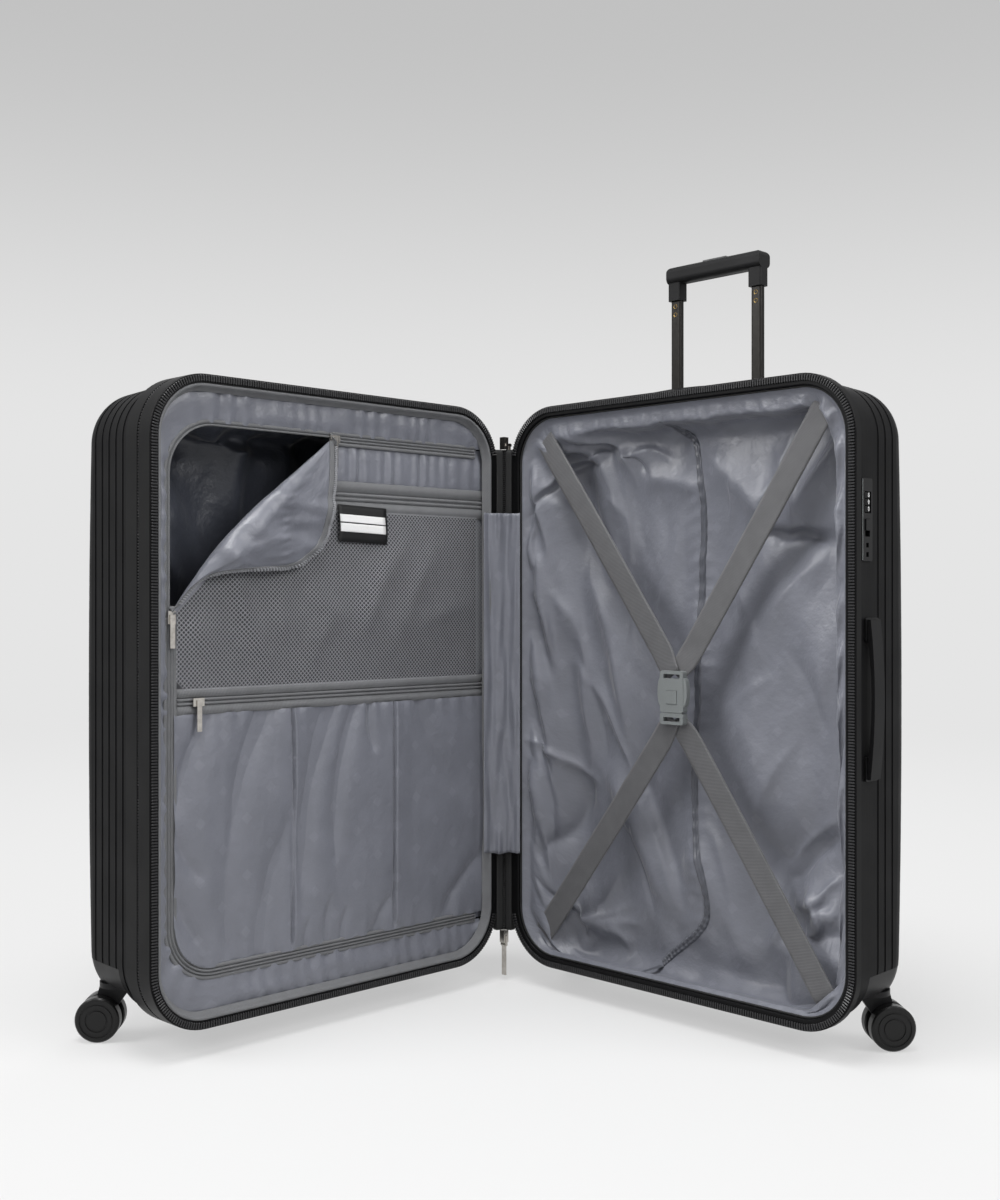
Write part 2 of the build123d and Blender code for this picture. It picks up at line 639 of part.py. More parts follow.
corners = (
    ("base_outer", add_base, BASE_BAND, CASE_WIDTH - swivel_inset(), 48),
    ("base_spine", add_base, BASE_BAND, swivel_inset(), 110),
    ("lid_outer", add_lid, LID_BAND, CASE_WIDTH - swivel_inset(), 43),
    ("lid_spine", add_lid, LID_BAND, swivel_inset(), 120),
)
for name, add, band, u, heading in corners:
    stand = Pos(u, swivel_depth(band), -FLOOR_TO_RIM) * Rot(0, 0, heading)
    add(f"caster_fork_{name}", *[stand * piece for piece in caster_fork()])
    wheel = caster_wheel()
    add(f"wheel_{name}_a", stand * wheel)
    add(f"wheel_{name}_b", stand * mirror(wheel, about=Plane.XZ))

# The origin is on the floor, under the middle of the opened case

extent = Compound([solid for solids in nodes.values() for solid in solids]).bounding_box()
to_origin = Pos(-round(extent.center().X, 1), -round(extent.center().Y, 1), 0)
os.makedirs("parts", exist_ok=True)
for name, solids in nodes.items():
    shape = solids[0] if len(solids) == 1 else Compound(solids)
    export_step(to_origin * shape, f"parts/{name}.step")
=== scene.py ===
import math

import bpy
from mathutils import Matrix, Vector, noise


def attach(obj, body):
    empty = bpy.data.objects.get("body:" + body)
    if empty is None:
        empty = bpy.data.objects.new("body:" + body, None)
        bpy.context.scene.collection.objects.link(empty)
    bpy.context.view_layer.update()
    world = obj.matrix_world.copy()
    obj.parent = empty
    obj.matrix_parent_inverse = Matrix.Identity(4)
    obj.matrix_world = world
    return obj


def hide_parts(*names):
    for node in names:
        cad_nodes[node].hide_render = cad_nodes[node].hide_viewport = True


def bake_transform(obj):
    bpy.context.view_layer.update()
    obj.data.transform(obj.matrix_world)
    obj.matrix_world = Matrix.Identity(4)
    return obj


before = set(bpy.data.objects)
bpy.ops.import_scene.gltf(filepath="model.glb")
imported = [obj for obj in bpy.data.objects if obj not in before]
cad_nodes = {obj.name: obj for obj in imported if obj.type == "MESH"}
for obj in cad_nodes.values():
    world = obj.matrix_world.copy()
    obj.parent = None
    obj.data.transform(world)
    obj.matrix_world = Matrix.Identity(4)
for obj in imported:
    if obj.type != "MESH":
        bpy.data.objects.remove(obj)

MM = 0.001
CASE_WIDTH = 510
CASE_HEIGHT = 710
RIM_CORNER = 70
# Where the mouths of the halves, their spine sides, the hinge and the rims' lower edge stand in the frame
BASE_SPINE_X, BASE_MOUTH_Y = -163.9, 196.4
LID_MOUTH_X, LID_SPINE_Y = -176.9, 183.4
HINGE_X, HINGE_Y = -173.9, 193.4
RIM_FOOT = 30
# Ways out of the two mouths and out of the angle between them
BASE_FRONT, LID_FRONT, SPINE_FRONT = (0, -1, 0), (1, 0, 0), (1, -1, 0)

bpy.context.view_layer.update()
bpy.ops.object.select_all(action="DESELECT")


# Places in the two halves: u from the spine, w into the depth, v up from the rim's lower edge, in mm


def in_base(u, w, v):
    return Vector((u + BASE_SPINE_X, w + BASE_MOUTH_Y, v + RIM_FOOT)) * MM


def from_base(point):
    return point.x / MM - BASE_SPINE_X, point.y / MM - BASE_MOUTH_Y, point.z / MM - RIM_FOOT


def in_lid(u, w, v):
    return Vector((LID_MOUTH_X - w, LID_SPINE_Y - u, v + RIM_FOOT)) * MM


def from_lid(point):
    return LID_SPINE_Y - point.y / MM, LID_MOUTH_X - point.x / MM, point.z / MM - RIM_FOOT


def at_hinge(x, y, z):
    """A point measured from the hinge axis and the floor."""
    return Vector((x + HINGE_X, y + HINGE_Y, z)) * MM


def seat(half, u, w, v, du, dv):
    """Place on a half with x along (du, dv) and z out of the half's mouth."""
    at = half(u, w, v)
    along = (half(u + du, w, v + dv) - at).normalized()
    out = (half(u, w - 1, v) - at).normalized()
    turned = Matrix((along, out.cross(along), out)).transposed().to_4x4()
    return Matrix.Translation(at) @ turned


def travel(u, v, heading, straights, radius, share):
    """Point and heading at a share of a path of straight runs with equal right turns between them."""
    bend = math.pi / 2 * radius
    left = share * (sum(straights) + bend * (len(straights) - 1))
    for straight in straights:
        ahead = Vector((math.cos(math.radians(heading)), math.sin(math.radians(heading))))
        if left <= straight or straight is straights[-1] and left <= straight + 1e-6:
            break
        left -= straight
        u += straight * ahead.x
        v += straight * ahead.y
        centre = (u + radius * ahead.y, v - radius * ahead.x)
        turn = min(left / bend, 1) * 90
        angle = math.radians(heading + 90 - turn)
        u = centre[0] + radius * math.cos(angle)
        v = centre[1] + radius * math.sin(angle)
        if left < bend:
            return u, v, heading - turn
        left -= bend
        heading -= 90
    ahead = Vector((math.cos(math.radians(heading)), math.sin(math.radians(heading))))
    return u + left * ahead.x, v + left * ahead.y, heading


def rim_point(inset, share):
    """On the rim's outline, moved in, from the middle of the spine side upwards and round."""
    across = CASE_WIDTH - 2 * RIM_CORNER
    up = CASE_HEIGHT - 2 * RIM_CORNER
    runs = (up / 2, across, up + 0.001, across + 0.001, up / 2 + 0.001)
    return travel(inset, CASE_HEIGHT / 2, 90, runs, RIM_CORNER - inset, share)


def rim_length(inset):
    return 2 * (CASE_WIDTH + CASE_HEIGHT - 4 * RIM_CORNER) + 2 * math.pi * (RIM_CORNER - inset)


TRACK_START = 28
TRACK_TURN = 423
TRACK_TOP = 655
TRACK_DROP = 488
TRACK_CORNER = 55
TRACK_RUN = TRACK_TURN - TRACK_START
TRACK_LENGTH = 2 * TRACK_RUN + TRACK_DROP + math.pi * TRACK_CORNER
# The two ends of the fold where the divider's corner is unzipped
FOLD_TOP = Vector((258, 654))
FOLD_SIDE = Vector((478, 446))
FOLD_TOP_SHARE = (FOLD_TOP.x - TRACK_START) / TRACK_LENGTH
FOLD_SIDE_SHARE = (
    TRACK_RUN + math.pi / 2 * TRACK_CORNER + (TRACK_TOP - TRACK_CORNER) - FOLD_SIDE.y
) / TRACK_LENGTH


def track_point(offset, share, start=TRACK_START):
    """On the divider's zipped track, from the spine end of its upper run to that of its lower run."""
    run = TRACK_TURN - start
    runs = (run, TRACK_DROP, run + 0.001)
    return travel(start, TRACK_TOP + offset, 0, runs, TRACK_CORNER + offset, share)


def room_inside(inset, u, v):
    """Distance from a point to the rim's outline moved in by an inset, positive inside."""
    radius = RIM_CORNER - inset
    over = Vector((
        abs(u - CASE_WIDTH / 2) - (CASE_WIDTH / 2 - inset - radius),
        abs(v - CASE_HEIGHT / 2) - (CASE_HEIGHT / 2 - inset - radius),
    ))
    outside = Vector((max(over.x, 0), max(over.y, 0))).length
    return radius - outside - min(max(over.x, over.y), 0)


def soft(low, high, value):
    """Smooth step from 0 at low to 1 at high."""
    t = min(max((value - low) / (high - low), 0), 1)
    return t * t * (3 - 2 * t)


def ripple(x, y, z=0.0):
    return noise.noise(Vector((x, y, z)))


def pressed(folds, x, y):
    """Height of folds at a point of a cloth. Each runs between two points, slightly bowed, and dies out."""
    height = 0.0
    for x0, y0, x1, y1, wide, high in folds:
        run = Vector((x1 - x0, y1 - y0))
        length = run.length
        off = Vector((x - x0, y - y0))
        share = off.dot(run) / length ** 2
        if not -0.3 < share < 1.3:
            continue
        aside = off.cross(run) / length + 0.06 * length * math.sin(math.pi * share)
        ends = soft(-0.3, 0.3, share) * soft(1.3, 0.7, share)
        height += high * ends * math.exp(0.35 - math.hypot(aside / wide, 0.35))
    return height


# Modelling steps


def pick(*pieces):
    """Select these pieces and nothing else, the first one active."""
    bpy.ops.object.select_all(action="DESELECT")
    for piece in pieces:
        piece.select_set(True)
    if pieces:
        bpy.context.view_layer.objects.active = pieces[0]


def named(name):
    piece = bpy.context.object
    piece.name = name
    piece.data.name = name
    return piece


def edit_all():
    """Into edit mode with the whole mesh selected."""
    bpy.ops.object.mode_set(mode="EDIT")
    bpy.ops.mesh.select_all(action="SELECT")


def edit_done():
    bpy.ops.object.mode_set(mode="OBJECT")


def eased_block(name, size, ease, segments):
    """Block of a size in mm with its edges eased."""
    pick()
    bpy.ops.mesh.primitive_cube_add(size=1)
    block = named(name)
    edit_all()
    bpy.ops.transform.resize(value=[side * MM for side in size])
    bpy.ops.mesh.bevel(offset=ease * MM, segments=segments, affect="EDGES")
    edit_done()
    return block


def lay_cloth(name, across, along, size, place, front):
    """Flat cloth of a size in mm, each point laid by place(s, t); front is the way its face looks."""
    pick()
    bpy.ops.mesh.primitive_grid_add(x_subdivisions=across, y_subdivisions=along, size=1)
    cloth = named(name)
    for corner in cloth.data.uv_layers.active.uv:
        corner.vector = (corner.vector.x * size[0] * MM, corner.vector.y * size[1] * MM)
    for vertex in cloth.data.vertices:
        vertex.co = place(vertex.co.x + 0.5, vertex.co.y + 0.5)
    facing = sum((face.normal * face.area for face in cloth.data.polygons), Vector())
    if facing.dot(Vector(front)) < 0:
        edit_all()
        bpy.ops.mesh.flip_normals()
        edit_done()
    bpy.ops.object.shade_smooth()
    return cloth


def lay_ribbon(name, half, profile, path, count, front):
    """Tape laid along path(share), which gives u, v and heading; profile holds offset and depth."""
    last = len(profile) - 1
    starts = [path(index / count) for index in range(count + 1)]
    length = sum(math.dist(a[:2], b[:2]) for a, b in zip(starts, starts[1:]))
    width = sum(math.dist(a, b) for a, b in zip(profile, profile[1:]))

    def place(s, t):
        u, v, heading = starts[round(s * count)]
        offset, w = profile[round(t * last)]
        turn = math.radians(heading + 90)
        return half(u + offset * math.cos(turn), w, v + offset * math.sin(turn))

    return lay_cloth(name, count, last, (length, width), place, front)


def finish_with(piece, kind, **settings):
    pick(piece)
    modifier = piece.modifiers.new(kind.lower(), kind)
    for key, value in settings.items():
        setattr(modifier, key, value)
    bpy.ops.object.modifier_apply(modifier=modifier.name)


def thicken(piece, millimetres, side=0):
    finish_with(piece, "SOLIDIFY", thickness=millimetres * MM, offset=side)


def smoothed(piece):
    finish_with(piece, "SUBSURF", levels=1, render_levels=1)


def cut_away(piece, point, normal):
    """Cut a piece by a plane and throw away what lies on the normal's side."""
    pick(piece)
    edit_all()
    bpy.ops.mesh.bisect(plane_co=point, plane_no=normal, clear_outer=True)
    edit_done()


def repeat(name, model, places):
    """Copies of a modelled shape set in their places and joined."""
    copies = []
    for place in places:
        copy = bpy.data.objects.new(name, model.data.copy())
        copy.data.transform(place)
        bpy.context.collection.objects.link(copy)
        copies.append(copy)
    bpy.data.objects.remove(model)
    pick(*copies)
    bpy.ops.object.join()
    return named(name)


def settle(cloth, held, frames, growth, stiffness, cap):
    """Let a cloth hang from its held points; no point moves further than the cap."""
    start = [vertex.co.copy() for vertex in cloth.data.vertices]
    cloth.vertex_groups.new(name="held").add(held, 1, "REPLACE")
    pick(cloth)
    hang = cloth.modifiers.new("hang", "CLOTH")
    cloth_settings = {
        "vertex_group_mass": "held", "quality": 5, "mass": 0.25, "air_damping": 3, "shrink_min": -growth,
        "tension_stiffness": 12, "compression_stiffness": 12, "shear_stiffness": 4,
        "bending_stiffness": stiffness,
    }
    for key, value in cloth_settings.items():
        setattr(hang.settings, key, value)
    hang.collision_settings.use_collision = False
    hang.collision_settings.use_self_collision = False
    hang.point_cache.frame_end = frames
    scene = bpy.context.scene
    for number in range(1, frames + 1):
        scene.frame_set(number)
    bpy.ops.object.modifier_apply(modifier="hang")
    for vertex, before in zip(cloth.data.vertices, start):
        moved = vertex.co - before
        if moved.length > cap * MM:
            vertex.co = before + moved.normalized() * cap * MM
    cloth.vertex_groups.clear()
    scene.frame_set(1)


def crease(cloth, folds):
    """Press sharp creases into a finished cloth, along its own normals."""
    spots = {}
    for loop, corner in zip(cloth.data.loops, cloth.data.uv_layers.active.uv):
        spots[loop.vertex_index] = (corner.vector.x / MM, corner.vector.y / MM)
    normals = [vertex.normal.copy() for vertex in cloth.data.vertices]
    for vertex, normal in zip(cloth.data.vertices, normals):
        vertex.co += normal * pressed(folds, *spots[vertex.index]) * MM
    cloth.data.update()


def dress(piece, body, slot, material, *replaced):
    """Material and body of a new piece and the CAD nodes it replaces; a blended one gives no body. The slot
    is not used.
    """
    piece.data.materials.clear()
    piece.data.materials.append(material)
    if body:
        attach(piece, body)
    if replaced:
        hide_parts(*replaced)


# Materials


def linear(code):
    """Linear colour of an sRGB hex code."""
    parts = [int(code[index:index + 2], 16) / 255 for index in (1, 3, 5)]
    return [part / 12.92 if part <= 0.04045 else ((part + 0.055) / 1.055) ** 2.4 for part in parts] + [1]


def main_output(value):
    """A node's main output; a constant or an output stays as it is."""
    if isinstance(value, bpy.types.Node):
        return value.outputs[2 if value.bl_idname == "ShaderNodeMix" else 0]
    return value


def node(tree, kind, links=None, **settings):
    """Add a shader node with its settings; a link is a constant, an output, or a node's main output."""
    added = tree.nodes.new("ShaderNode" + kind)
    for key, value in settings.items():
        setattr(added, key, value)
    for key, value in (links or {}).items():
        value = main_output(value)
        if isinstance(value, bpy.types.NodeSocket):
            tree.links.new(value, added.inputs[key])
        else:
            added.inputs[key].default_value = value
    return added


def begin(name, **sockets):
    """New material and its shader with constant sockets set."""
    material = bpy.data.materials.new(name)
    material.use_nodes = True
    shader = material.node_tree.nodes["Principled BSDF"]
    for key, value in sockets.items():
        shader.inputs[key.replace("_", " ")].default_value = value
    return material, material.node_tree, shader


def wire(shader, **nodes):
    """Lead nodes into the shader's sockets."""
    for key, value in nodes.items():
        shader.id_data.links.new(main_output(value), shader.inputs[key.replace("_", " ")])


# The wave's bands repeat every 2 pi / 20 of its scale
WAVE_BAND = 0.314


def moulded_plastic(name, dark, light, grain_mm, depth_mm, rough, specular, drawn=1.0):
    """Injection moulded plastic: fine grain that breaks the highlight, drawn out upwards where the mould is
    brushed, and a little handling polish."""
    material, tree, shader = begin(name, Specular_IOR_Level=specular)
    where = node(tree, "TexCoord").outputs["Object"]
    upward = node(tree, "Mapping", {"Vector": where, "Scale": (1, 1, 1 / drawn)})
    grain = node(tree, "TexNoise", {"Vector": upward, "Scale": 1 / (grain_mm * MM), "Detail": 2})
    wear = node(tree, "TexNoise", {"Vector": where, "Scale": 18, "Detail": 3})
    colour = node(tree, "Mix", {0: grain, 6: linear(dark), 7: linear(light)}, data_type="RGBA")
    gloss = node(tree, "MapRange", {0: wear, 1: 0.3, 2: 0.7, 3: rough - 0.05, 4: rough + 0.07})
    bump = node(tree, "Bump", {"Height": grain, "Strength": 0.5, "Distance": depth_mm * MM})
    wire(shader, Base_Color=colour, Roughness=gloss, Normal=bump)
    return material


def woven_cloth(name, dark, light, thread_mm, relief_mm, rough, sheen, steep=1.0):
    """Woven tape or webbing: slanting rows of threads with paler crowns, matte with a little fuzz."""
    material, tree, shader = begin(name, Sheen_Weight=sheen, Sheen_Roughness=0.5, Roughness=rough)
    where = node(tree, "TexCoord").outputs["UV"]
    turned = node(tree, "Mapping", {"Vector": where, "Rotation": (0, 0, math.atan(steep))})
    rows = node(tree, "TexWave", {
        "Vector": turned, "Scale": WAVE_BAND / (thread_mm * MM), "Distortion": 0.6, "Detail": 1,
    }).outputs["Fac"]
    patches = node(tree, "TexNoise", {"Vector": where, "Scale": 60, "Detail": 3})
    mixed = node(tree, "Math", {0: rows, 1: patches}, operation="MULTIPLY")
    colour = node(tree, "Mix", {0: mixed, 6: linear(dark), 7: linear(light)}, data_type="RGBA")
    bump = node(tree, "Bump", {"Height": rows, "Strength": 0.6, "Distance": relief_mm * MM})
    wire(shader, Base_Color=colour, Normal=bump)
    return material


def lining_satin(name, dark, light, motif, crumple_mm):
    """Polyester satin: blue grey, glossy on each fold's crest, with a faint woven lozenge and creases."""
    lozenge_mm, twill_mm = 46, 1.4
    material, tree, shader = begin(name, Sheen_Weight=0.25, Sheen_Roughness=0.35, Specular_IOR_Level=0.5)
    where = node(tree, "TexCoord").outputs["UV"]
    repeats = 1 / (lozenge_mm * MM)
    turned = node(tree, "Mapping", {
        "Vector": where, "Rotation": (0, 0, math.radians(45)), "Scale": (repeats, repeats, 1),
    })
    grid = node(tree, "TexVoronoi", {"Vector": turned, "Scale": 1, "Randomness": 0}, distance="CHEBYCHEV")
    lozenge = node(tree, "MapRange", {0: grid.outputs["Distance"], 1: 0.10, 2: 0.12, 3: 1, 4: 0})
    cloudy = node(tree, "TexNoise", {"Vector": where, "Scale": 22, "Detail": 4})
    ground = node(tree, "Mix", {0: cloudy, 6: linear(dark), 7: linear(light)}, data_type="RGBA")
    share = node(tree, "Math", {0: lozenge, 1: 0.12}, operation="MULTIPLY")
    colour = node(tree, "Mix", {0: share, 6: ground, 7: linear(motif)}, data_type="RGBA")
    gloss = node(tree, "MapRange", {0: lozenge, 1: 0, 2: 1, 3: 0.4, 4: 0.34})
    # Threads 0.4 mm apart are too fine to show, so the twill is drawn at 1.4 mm
    slant = node(tree, "Mapping", {"Vector": where, "Rotation": (0, 0, math.radians(60))})
    twill = node(tree, "TexWave", {"Vector": slant, "Scale": WAVE_BAND / (twill_mm * MM), "Distortion": 0.5})
    puckers = node(tree, "TexNoise", {"Vector": where, "Scale": 55, "Detail": 3, "Roughness": 0.6})
    rumpled = node(tree, "TexNoise", {
        "Vector": where, "Scale": 9, "Detail": 2, "Roughness": 0.4, "Distortion": 0.5,
    }, noise_type="RIDGED_MULTIFRACTAL")
    bump = None
    for height, strength, depth_mm in (
        (twill.outputs["Fac"], 0.25, 0.1), (puckers, 0.35, 4), (rumpled, 0.6, crumple_mm),
    ):
        relief = {"Height": height, "Strength": strength, "Distance": depth_mm * MM}
        if bump:
            relief["Normal"] = bump
        bump = node(tree, "Bump", relief)
    wire(shader, Base_Color=colour, Roughness=gloss, Normal=bump)
    return material


def worked_metal(name, dark, light, rough, streak_mm):
    """Cast or drawn metal with a plated or anodised skin: drawn streaks and rubbed spots in its gloss."""
    material, tree, shader = begin(name, Metallic=1.0)
    where = node(tree, "TexCoord").outputs["Object"]
    drawn = node(tree, "Mapping", {"Vector": where, "Scale": (1, 1, 0.04)})
    streaks = node(tree, "TexNoise", {"Vector": drawn, "Scale": 1 / (streak_mm * MM), "Detail": 3})
    rubbed = node(tree, "TexNoise", {"Vector": where, "Scale": 160, "Detail": 2})
    colour = node(tree, "Mix", {0: rubbed, 6: linear(dark), 7: linear(light)}, data_type="RGBA")
    gloss = node(tree, "MapRange", {0: streaks, 1: 0.3, 2: 0.7, 3: rough - 0.08, 4: rough + 0.08})
    bump = node(tree, "Bump", {"Height": streaks, "Strength": 0.2, "Distance": 0.05 * MM})
    wire(shader, Base_Color=colour, Roughness=gloss, Normal=bump)
    return material


shell_plastic = moulded_plastic(
    "brushed_polypropylene_shell", "#0a0a0b", "#161617", 1.6, 0.12, 0.44, 0.065, drawn=40
)
rim_plastic = moulded_plastic("satin_abs_rim", "#0a0a0b", "#101011", 1.4, 0.05, 0.4, 0.11)
trim_plastic = moulded_plastic("satin_abs_trim", "#101011", "#171718", 0.9, 0.06, 0.4, 0.19)
grip_plastic = moulded_plastic("soft_touch_grip", "#101011", "#19191a", 0.8, 0.1, 0.52, 0.16)
buckle_plastic = moulded_plastic("acetal_buckle", "#6a6e6e", "#7a7e7e", 1.2, 0.05, 0.42, 0.5)
tyre_rubber = moulded_plastic("polyurethane_tyre", "#131313", "#1c1c1c", 0.8, 0.03, 0.3, 0.26)
chain_nylon = moulded_plastic("nylon_zip_chain", "#1a1a1b", "#2e2e30", 0.7, 0.04, 0.3, 0.4)
black_tape = woven_cloth("black_zip_tape", "#070708", "#171718", 1.2, 0.15, 0.75, 0.03)
grey_tape = woven_cloth("grey_zip_tape", "#5a5b5d", "#7c7d80", 1.3, 0.18, 0.68, 0.15)
webbing = woven_cloth("polypropylene_webbing", "#48484a", "#6a6a6c", 1.6, 0.3, 0.6, 0.15, steep=0.5)
net_thread = woven_cloth("knitted_net_thread", "#7a7b7f", "#9a9b9f", 0.9, 0.1, 0.6, 0.2)
satin = lining_satin("polyester_satin_lining", "#63656d", "#74767f", "#90929a", 1.2)
loose_satin = lining_satin("polyester_satin_loose", "#63656d", "#74767f", "#90929a", 6)
# Darker satin for the lining's seam: painted shade along its line
seam_shade_satin = lining_satin("polyester_satin_seam_painted_shade", "#44464d", "#54565e", "#5c5e66", 1.2)
# Darker satin for the divider behind the net and the pocket: painted shade
shaded_satin = lining_satin("polyester_satin_painted_pocket_shade", "#2e2f34", "#3a3b40", "#4a4b50", 1.2)
# Darker satin for the lid's lining: painted shade of the lid's closed-in inside
lid_shade_satin = lining_satin("polyester_satin_lid_painted_shade", "#363941", "#484b54", "#555861", 4)
gunmetal = worked_metal("gunmetal_zinc", "#a5a19b", "#d6d2cc", 0.18, 0.8)
steel = worked_metal("drawn_steel", "#8b8b8b", "#b5b5b5", 0.3, 0.6)
brass = worked_metal("brass_screw", "#8d7442", "#b4975c", 0.32, 0.5)
dark_aluminium = worked_metal("anodised_aluminium_tube", "#242322", "#302f2e", 0.36, 0.5)
card_black = moulded_plastic("printed_card_black", "#101011", "#171718", 1.5, 0.02, 0.55, 0.3)
card_white = moulded_plastic("bare_card_white", "#d4d4d4", "#e2e2e2", 1.5, 0.02, 0.6, 0.3)
button_plastic = moulded_plastic("grey_button_plastic", "#3a3a3b", "#464647", 0.8, 0.06, 0.45, 0.4)
dial_ink = moulded_plastic("dial_ink_white", "#d8d8d8", "#e8e8e8", 0.8, 0.01, 0.5, 0.4)


# CAD nodes that stay, with their finishes

kept_finishes = {
    shell_plastic: ["base_shell", "lid_shell"],
    rim_plastic: ["base_rim", "lid_rim", "lid_collar"],
    trim_plastic: [
        "base_caster_seats", "lid_caster_seats", "lock_case", "lock_latch", "lock_dial_1", "lock_dial_2",
        "lock_dial_3", "handle_tray", "handle_foot", "carry_handle_mounts", "caster_fork_base_outer",
        "caster_fork_base_spine", "caster_fork_lid_outer", "caster_fork_lid_spine",
    ],
    grip_plastic: ["handle_grip", "side_carry_handle", "top_carry_handle"],
    button_plastic: ["handle_button"],
    buckle_plastic: ["buckle_socket", "buckle_plug", "buckle_button"],
    dark_aluminium: ["handle_inner_tubes", "handle_mid_tubes", "handle_outer_tubes"],
    gunmetal: [
        "zipper_sliders", "zipper_pull_upper", "zipper_pull_lower", "divider_sliders", "pocket_slider",
    ],
    steel: ["dial_shaft"],
    tyre_rubber: [name for name in cad_nodes if name.startswith("wheel_")],
}
for finish, names in kept_finishes.items():
    for name in names:
        cad_nodes[name].data.materials.clear()
        cad_nodes[name].data.materials.append(finish)


# Zip chains round the rims

TOOTH_PITCH = 3.2


def zip_tooth(across, along, high):
    """One tooth: a block with all its edges eased."""
    return eased_block("tooth", (along, across, high), 0.28 * along, 1)


def chain_round_rim(name, half, body, replaced, inset, w, across, high, gap_at_spine):
    """Row of teeth along the rim, left out along the spine where the chain is closed on the hinge."""
    count = round(rim_length(inset) / TOOTH_PITCH)
    places = []
    for index in range(count):
        u, v, heading = rim_point(inset, index / count)
        if gap_at_spine and u < 12 and 60 < v < 650:
            continue
        turn = math.radians(heading)
        places.append(seat(half, u, w, v, math.cos(turn), math.sin(turn)))
    chain = repeat(name, zip_tooth(across, 0.62 * TOOTH_PITCH, high), places)
    dress(chain, body, "zipper_nylon", chain_nylon, replaced)


for name, half, body, replaced in (
    ("base_zip_chain", in_base, "base", "base_zipper"), ("lid_zip_chain", in_lid, "lid_frame", "lid_zipper"),
):
    chain_round_rim(name, half, body, replaced, 5, -1.2, 7, 2.4, gap_at_spine=True)
for name, body, replaced, w in (
    ("expander_teeth_rim_side", "lid_frame", "expander_chain_rim", 22.9),
    ("expander_teeth_collar_side", "lid_shell", "expander_chain_collar", 25.1),
):
    chain_round_rim(name, in_lid, body, replaced, 2.6, w, 4.4, 1.7, gap_at_spine=False)


def rim_ribbon(name, half, profile, front, material, body):
    """Tape all round a rim."""
    ribbon = lay_ribbon(name, half, profile, lambda share: rim_point(0, share), 360, front)
    finish_with(ribbon, "WELD", merge_threshold=0.1 * MM)
    dress(ribbon, body, "tape_cloth", material)
    return ribbon


# Cloth of the expander, folded behind its closed chain

fold = rim_ribbon(
    "expander_fold", in_lid, [(-5.4, 22.2), (-6.2, 23.2), (-6.0, 24.0), (-6.2, 24.8), (-5.4, 25.8)],
    (0, 0, 0), black_tape, "lid_frame",
)
fold.parent = None
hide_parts("expander_gusset")
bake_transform(fold)


# Binding tapes inside the rims

lid_binding = [
    (-10.4, -0.1), (-10.7, -0.6), (-12.8, -0.7), (-13.6, 0.4), (-14.2, 6.0), (-17.4, 7.4), (-18.2, 9.4),
]
base_binding = [(-13.0, 4.2), (-13.2, 3.4), (-14.2, 3.0), (-15.2, 3.4), (-15.4, 4.6)]
rim_ribbon("lid_binding", in_lid, lid_binding, LID_FRONT, grey_tape, "lid_frame")
rim_ribbon("base_binding", in_base, base_binding, BASE_FRONT, black_tape, "base")


# Linings of the two halves

BASE_GRID, LID_GRID = (110, 146), (70, 92)
FOLD_CHART = (640, 840)


def lining_place(half, front, back, inset, bend, spine_lean, loose, folds):
    """Tray of cloth: a back, a rounded turn, walls, and a hem behind the rim's lip, with folds in it."""
    def place(s, t):
        # Square rings of the grid become the back, its turn and the walls of a tray with round corners
        a, b = 2 * s - 1, 2 * t - 1
        ring = max(abs(a), abs(b), 1e-6)
        turn_start, wall_start, least_corner = 0.70, 0.80, 26
        reach = min(ring / turn_start, 1)
        lean = soft(0.64, 0.86, ring) * math.pi / 2
        down = max((ring - wall_start) / (1 - wall_start), 0)
        bent = min(max((ring - turn_start) / (wall_start - turn_start), 0), 1) * math.pi / 2
        edge = inset + bend * (1 - math.sin(bent)) - 6 * soft(0.85, 1, down)
        w = (back - bend * (1 - math.cos(bent))) * (1 - down) + front * down
        radius = max(RIM_CORNER - edge, least_corner)
        hu, hv = CASE_WIDTH / 2 - edge, CASE_HEIGHT / 2 - edge
        x, y = a / ring * hu, b / ring * hv
        cx, cy = hu - radius, hv - radius
        if abs(x) > cx and abs(y) > cy:
            over = Vector((abs(x) - cx, abs(y) - cy)).normalized() * radius
            x = math.copysign(cx + over.x, x)
            y = math.copysign(cy + over.y, y)
        u, v = CASE_WIDTH / 2 + x * reach, CASE_HEIGHT / 2 + y * reach
        u += spine_lean * soft(front, back, w) * (1 - soft(60, 230, u))
        # Slack and folds stand off the tray towards its middle, and die out at the hem
        free = 1 - soft(0.88, 1, ring)
        slack = ripple(u / 62, v / 120, 3.1) + 0.5 * ripple(u / 30, v / 60, 7.7)
        lift = free * (loose * (0.6 + slack) + pressed(folds, FOLD_CHART[0] * s, FOLD_CHART[1] * t))
        aim = Vector((CASE_WIDTH / 2 - u, CASE_HEIGHT / 2 - v))
        aim = aim / max(abs(aim.x) / 200, abs(aim.y) / 300, 1) / 250
        aside = lift * math.sin(lean)
        return half(u + aside * aim.x, w - lift * math.cos(lean), v + aside * aim.y)
    return place


def hem_points(across, along):
    """Numbers of the points in the grid's three outer rows."""
    return [
        row * (across + 1) + column
        for row in range(along + 1)
        for column in range(across + 1)
        if min(row, along - row, column, across - column) < 3
    ]


def over_wheels(u, v):
    """1 over the two wheel recesses in a half's lower corners, 0 away from them."""
    return (1 - soft(94, 160, min(u, CASE_WIDTH - u))) * (1 - soft(66, 140, v))


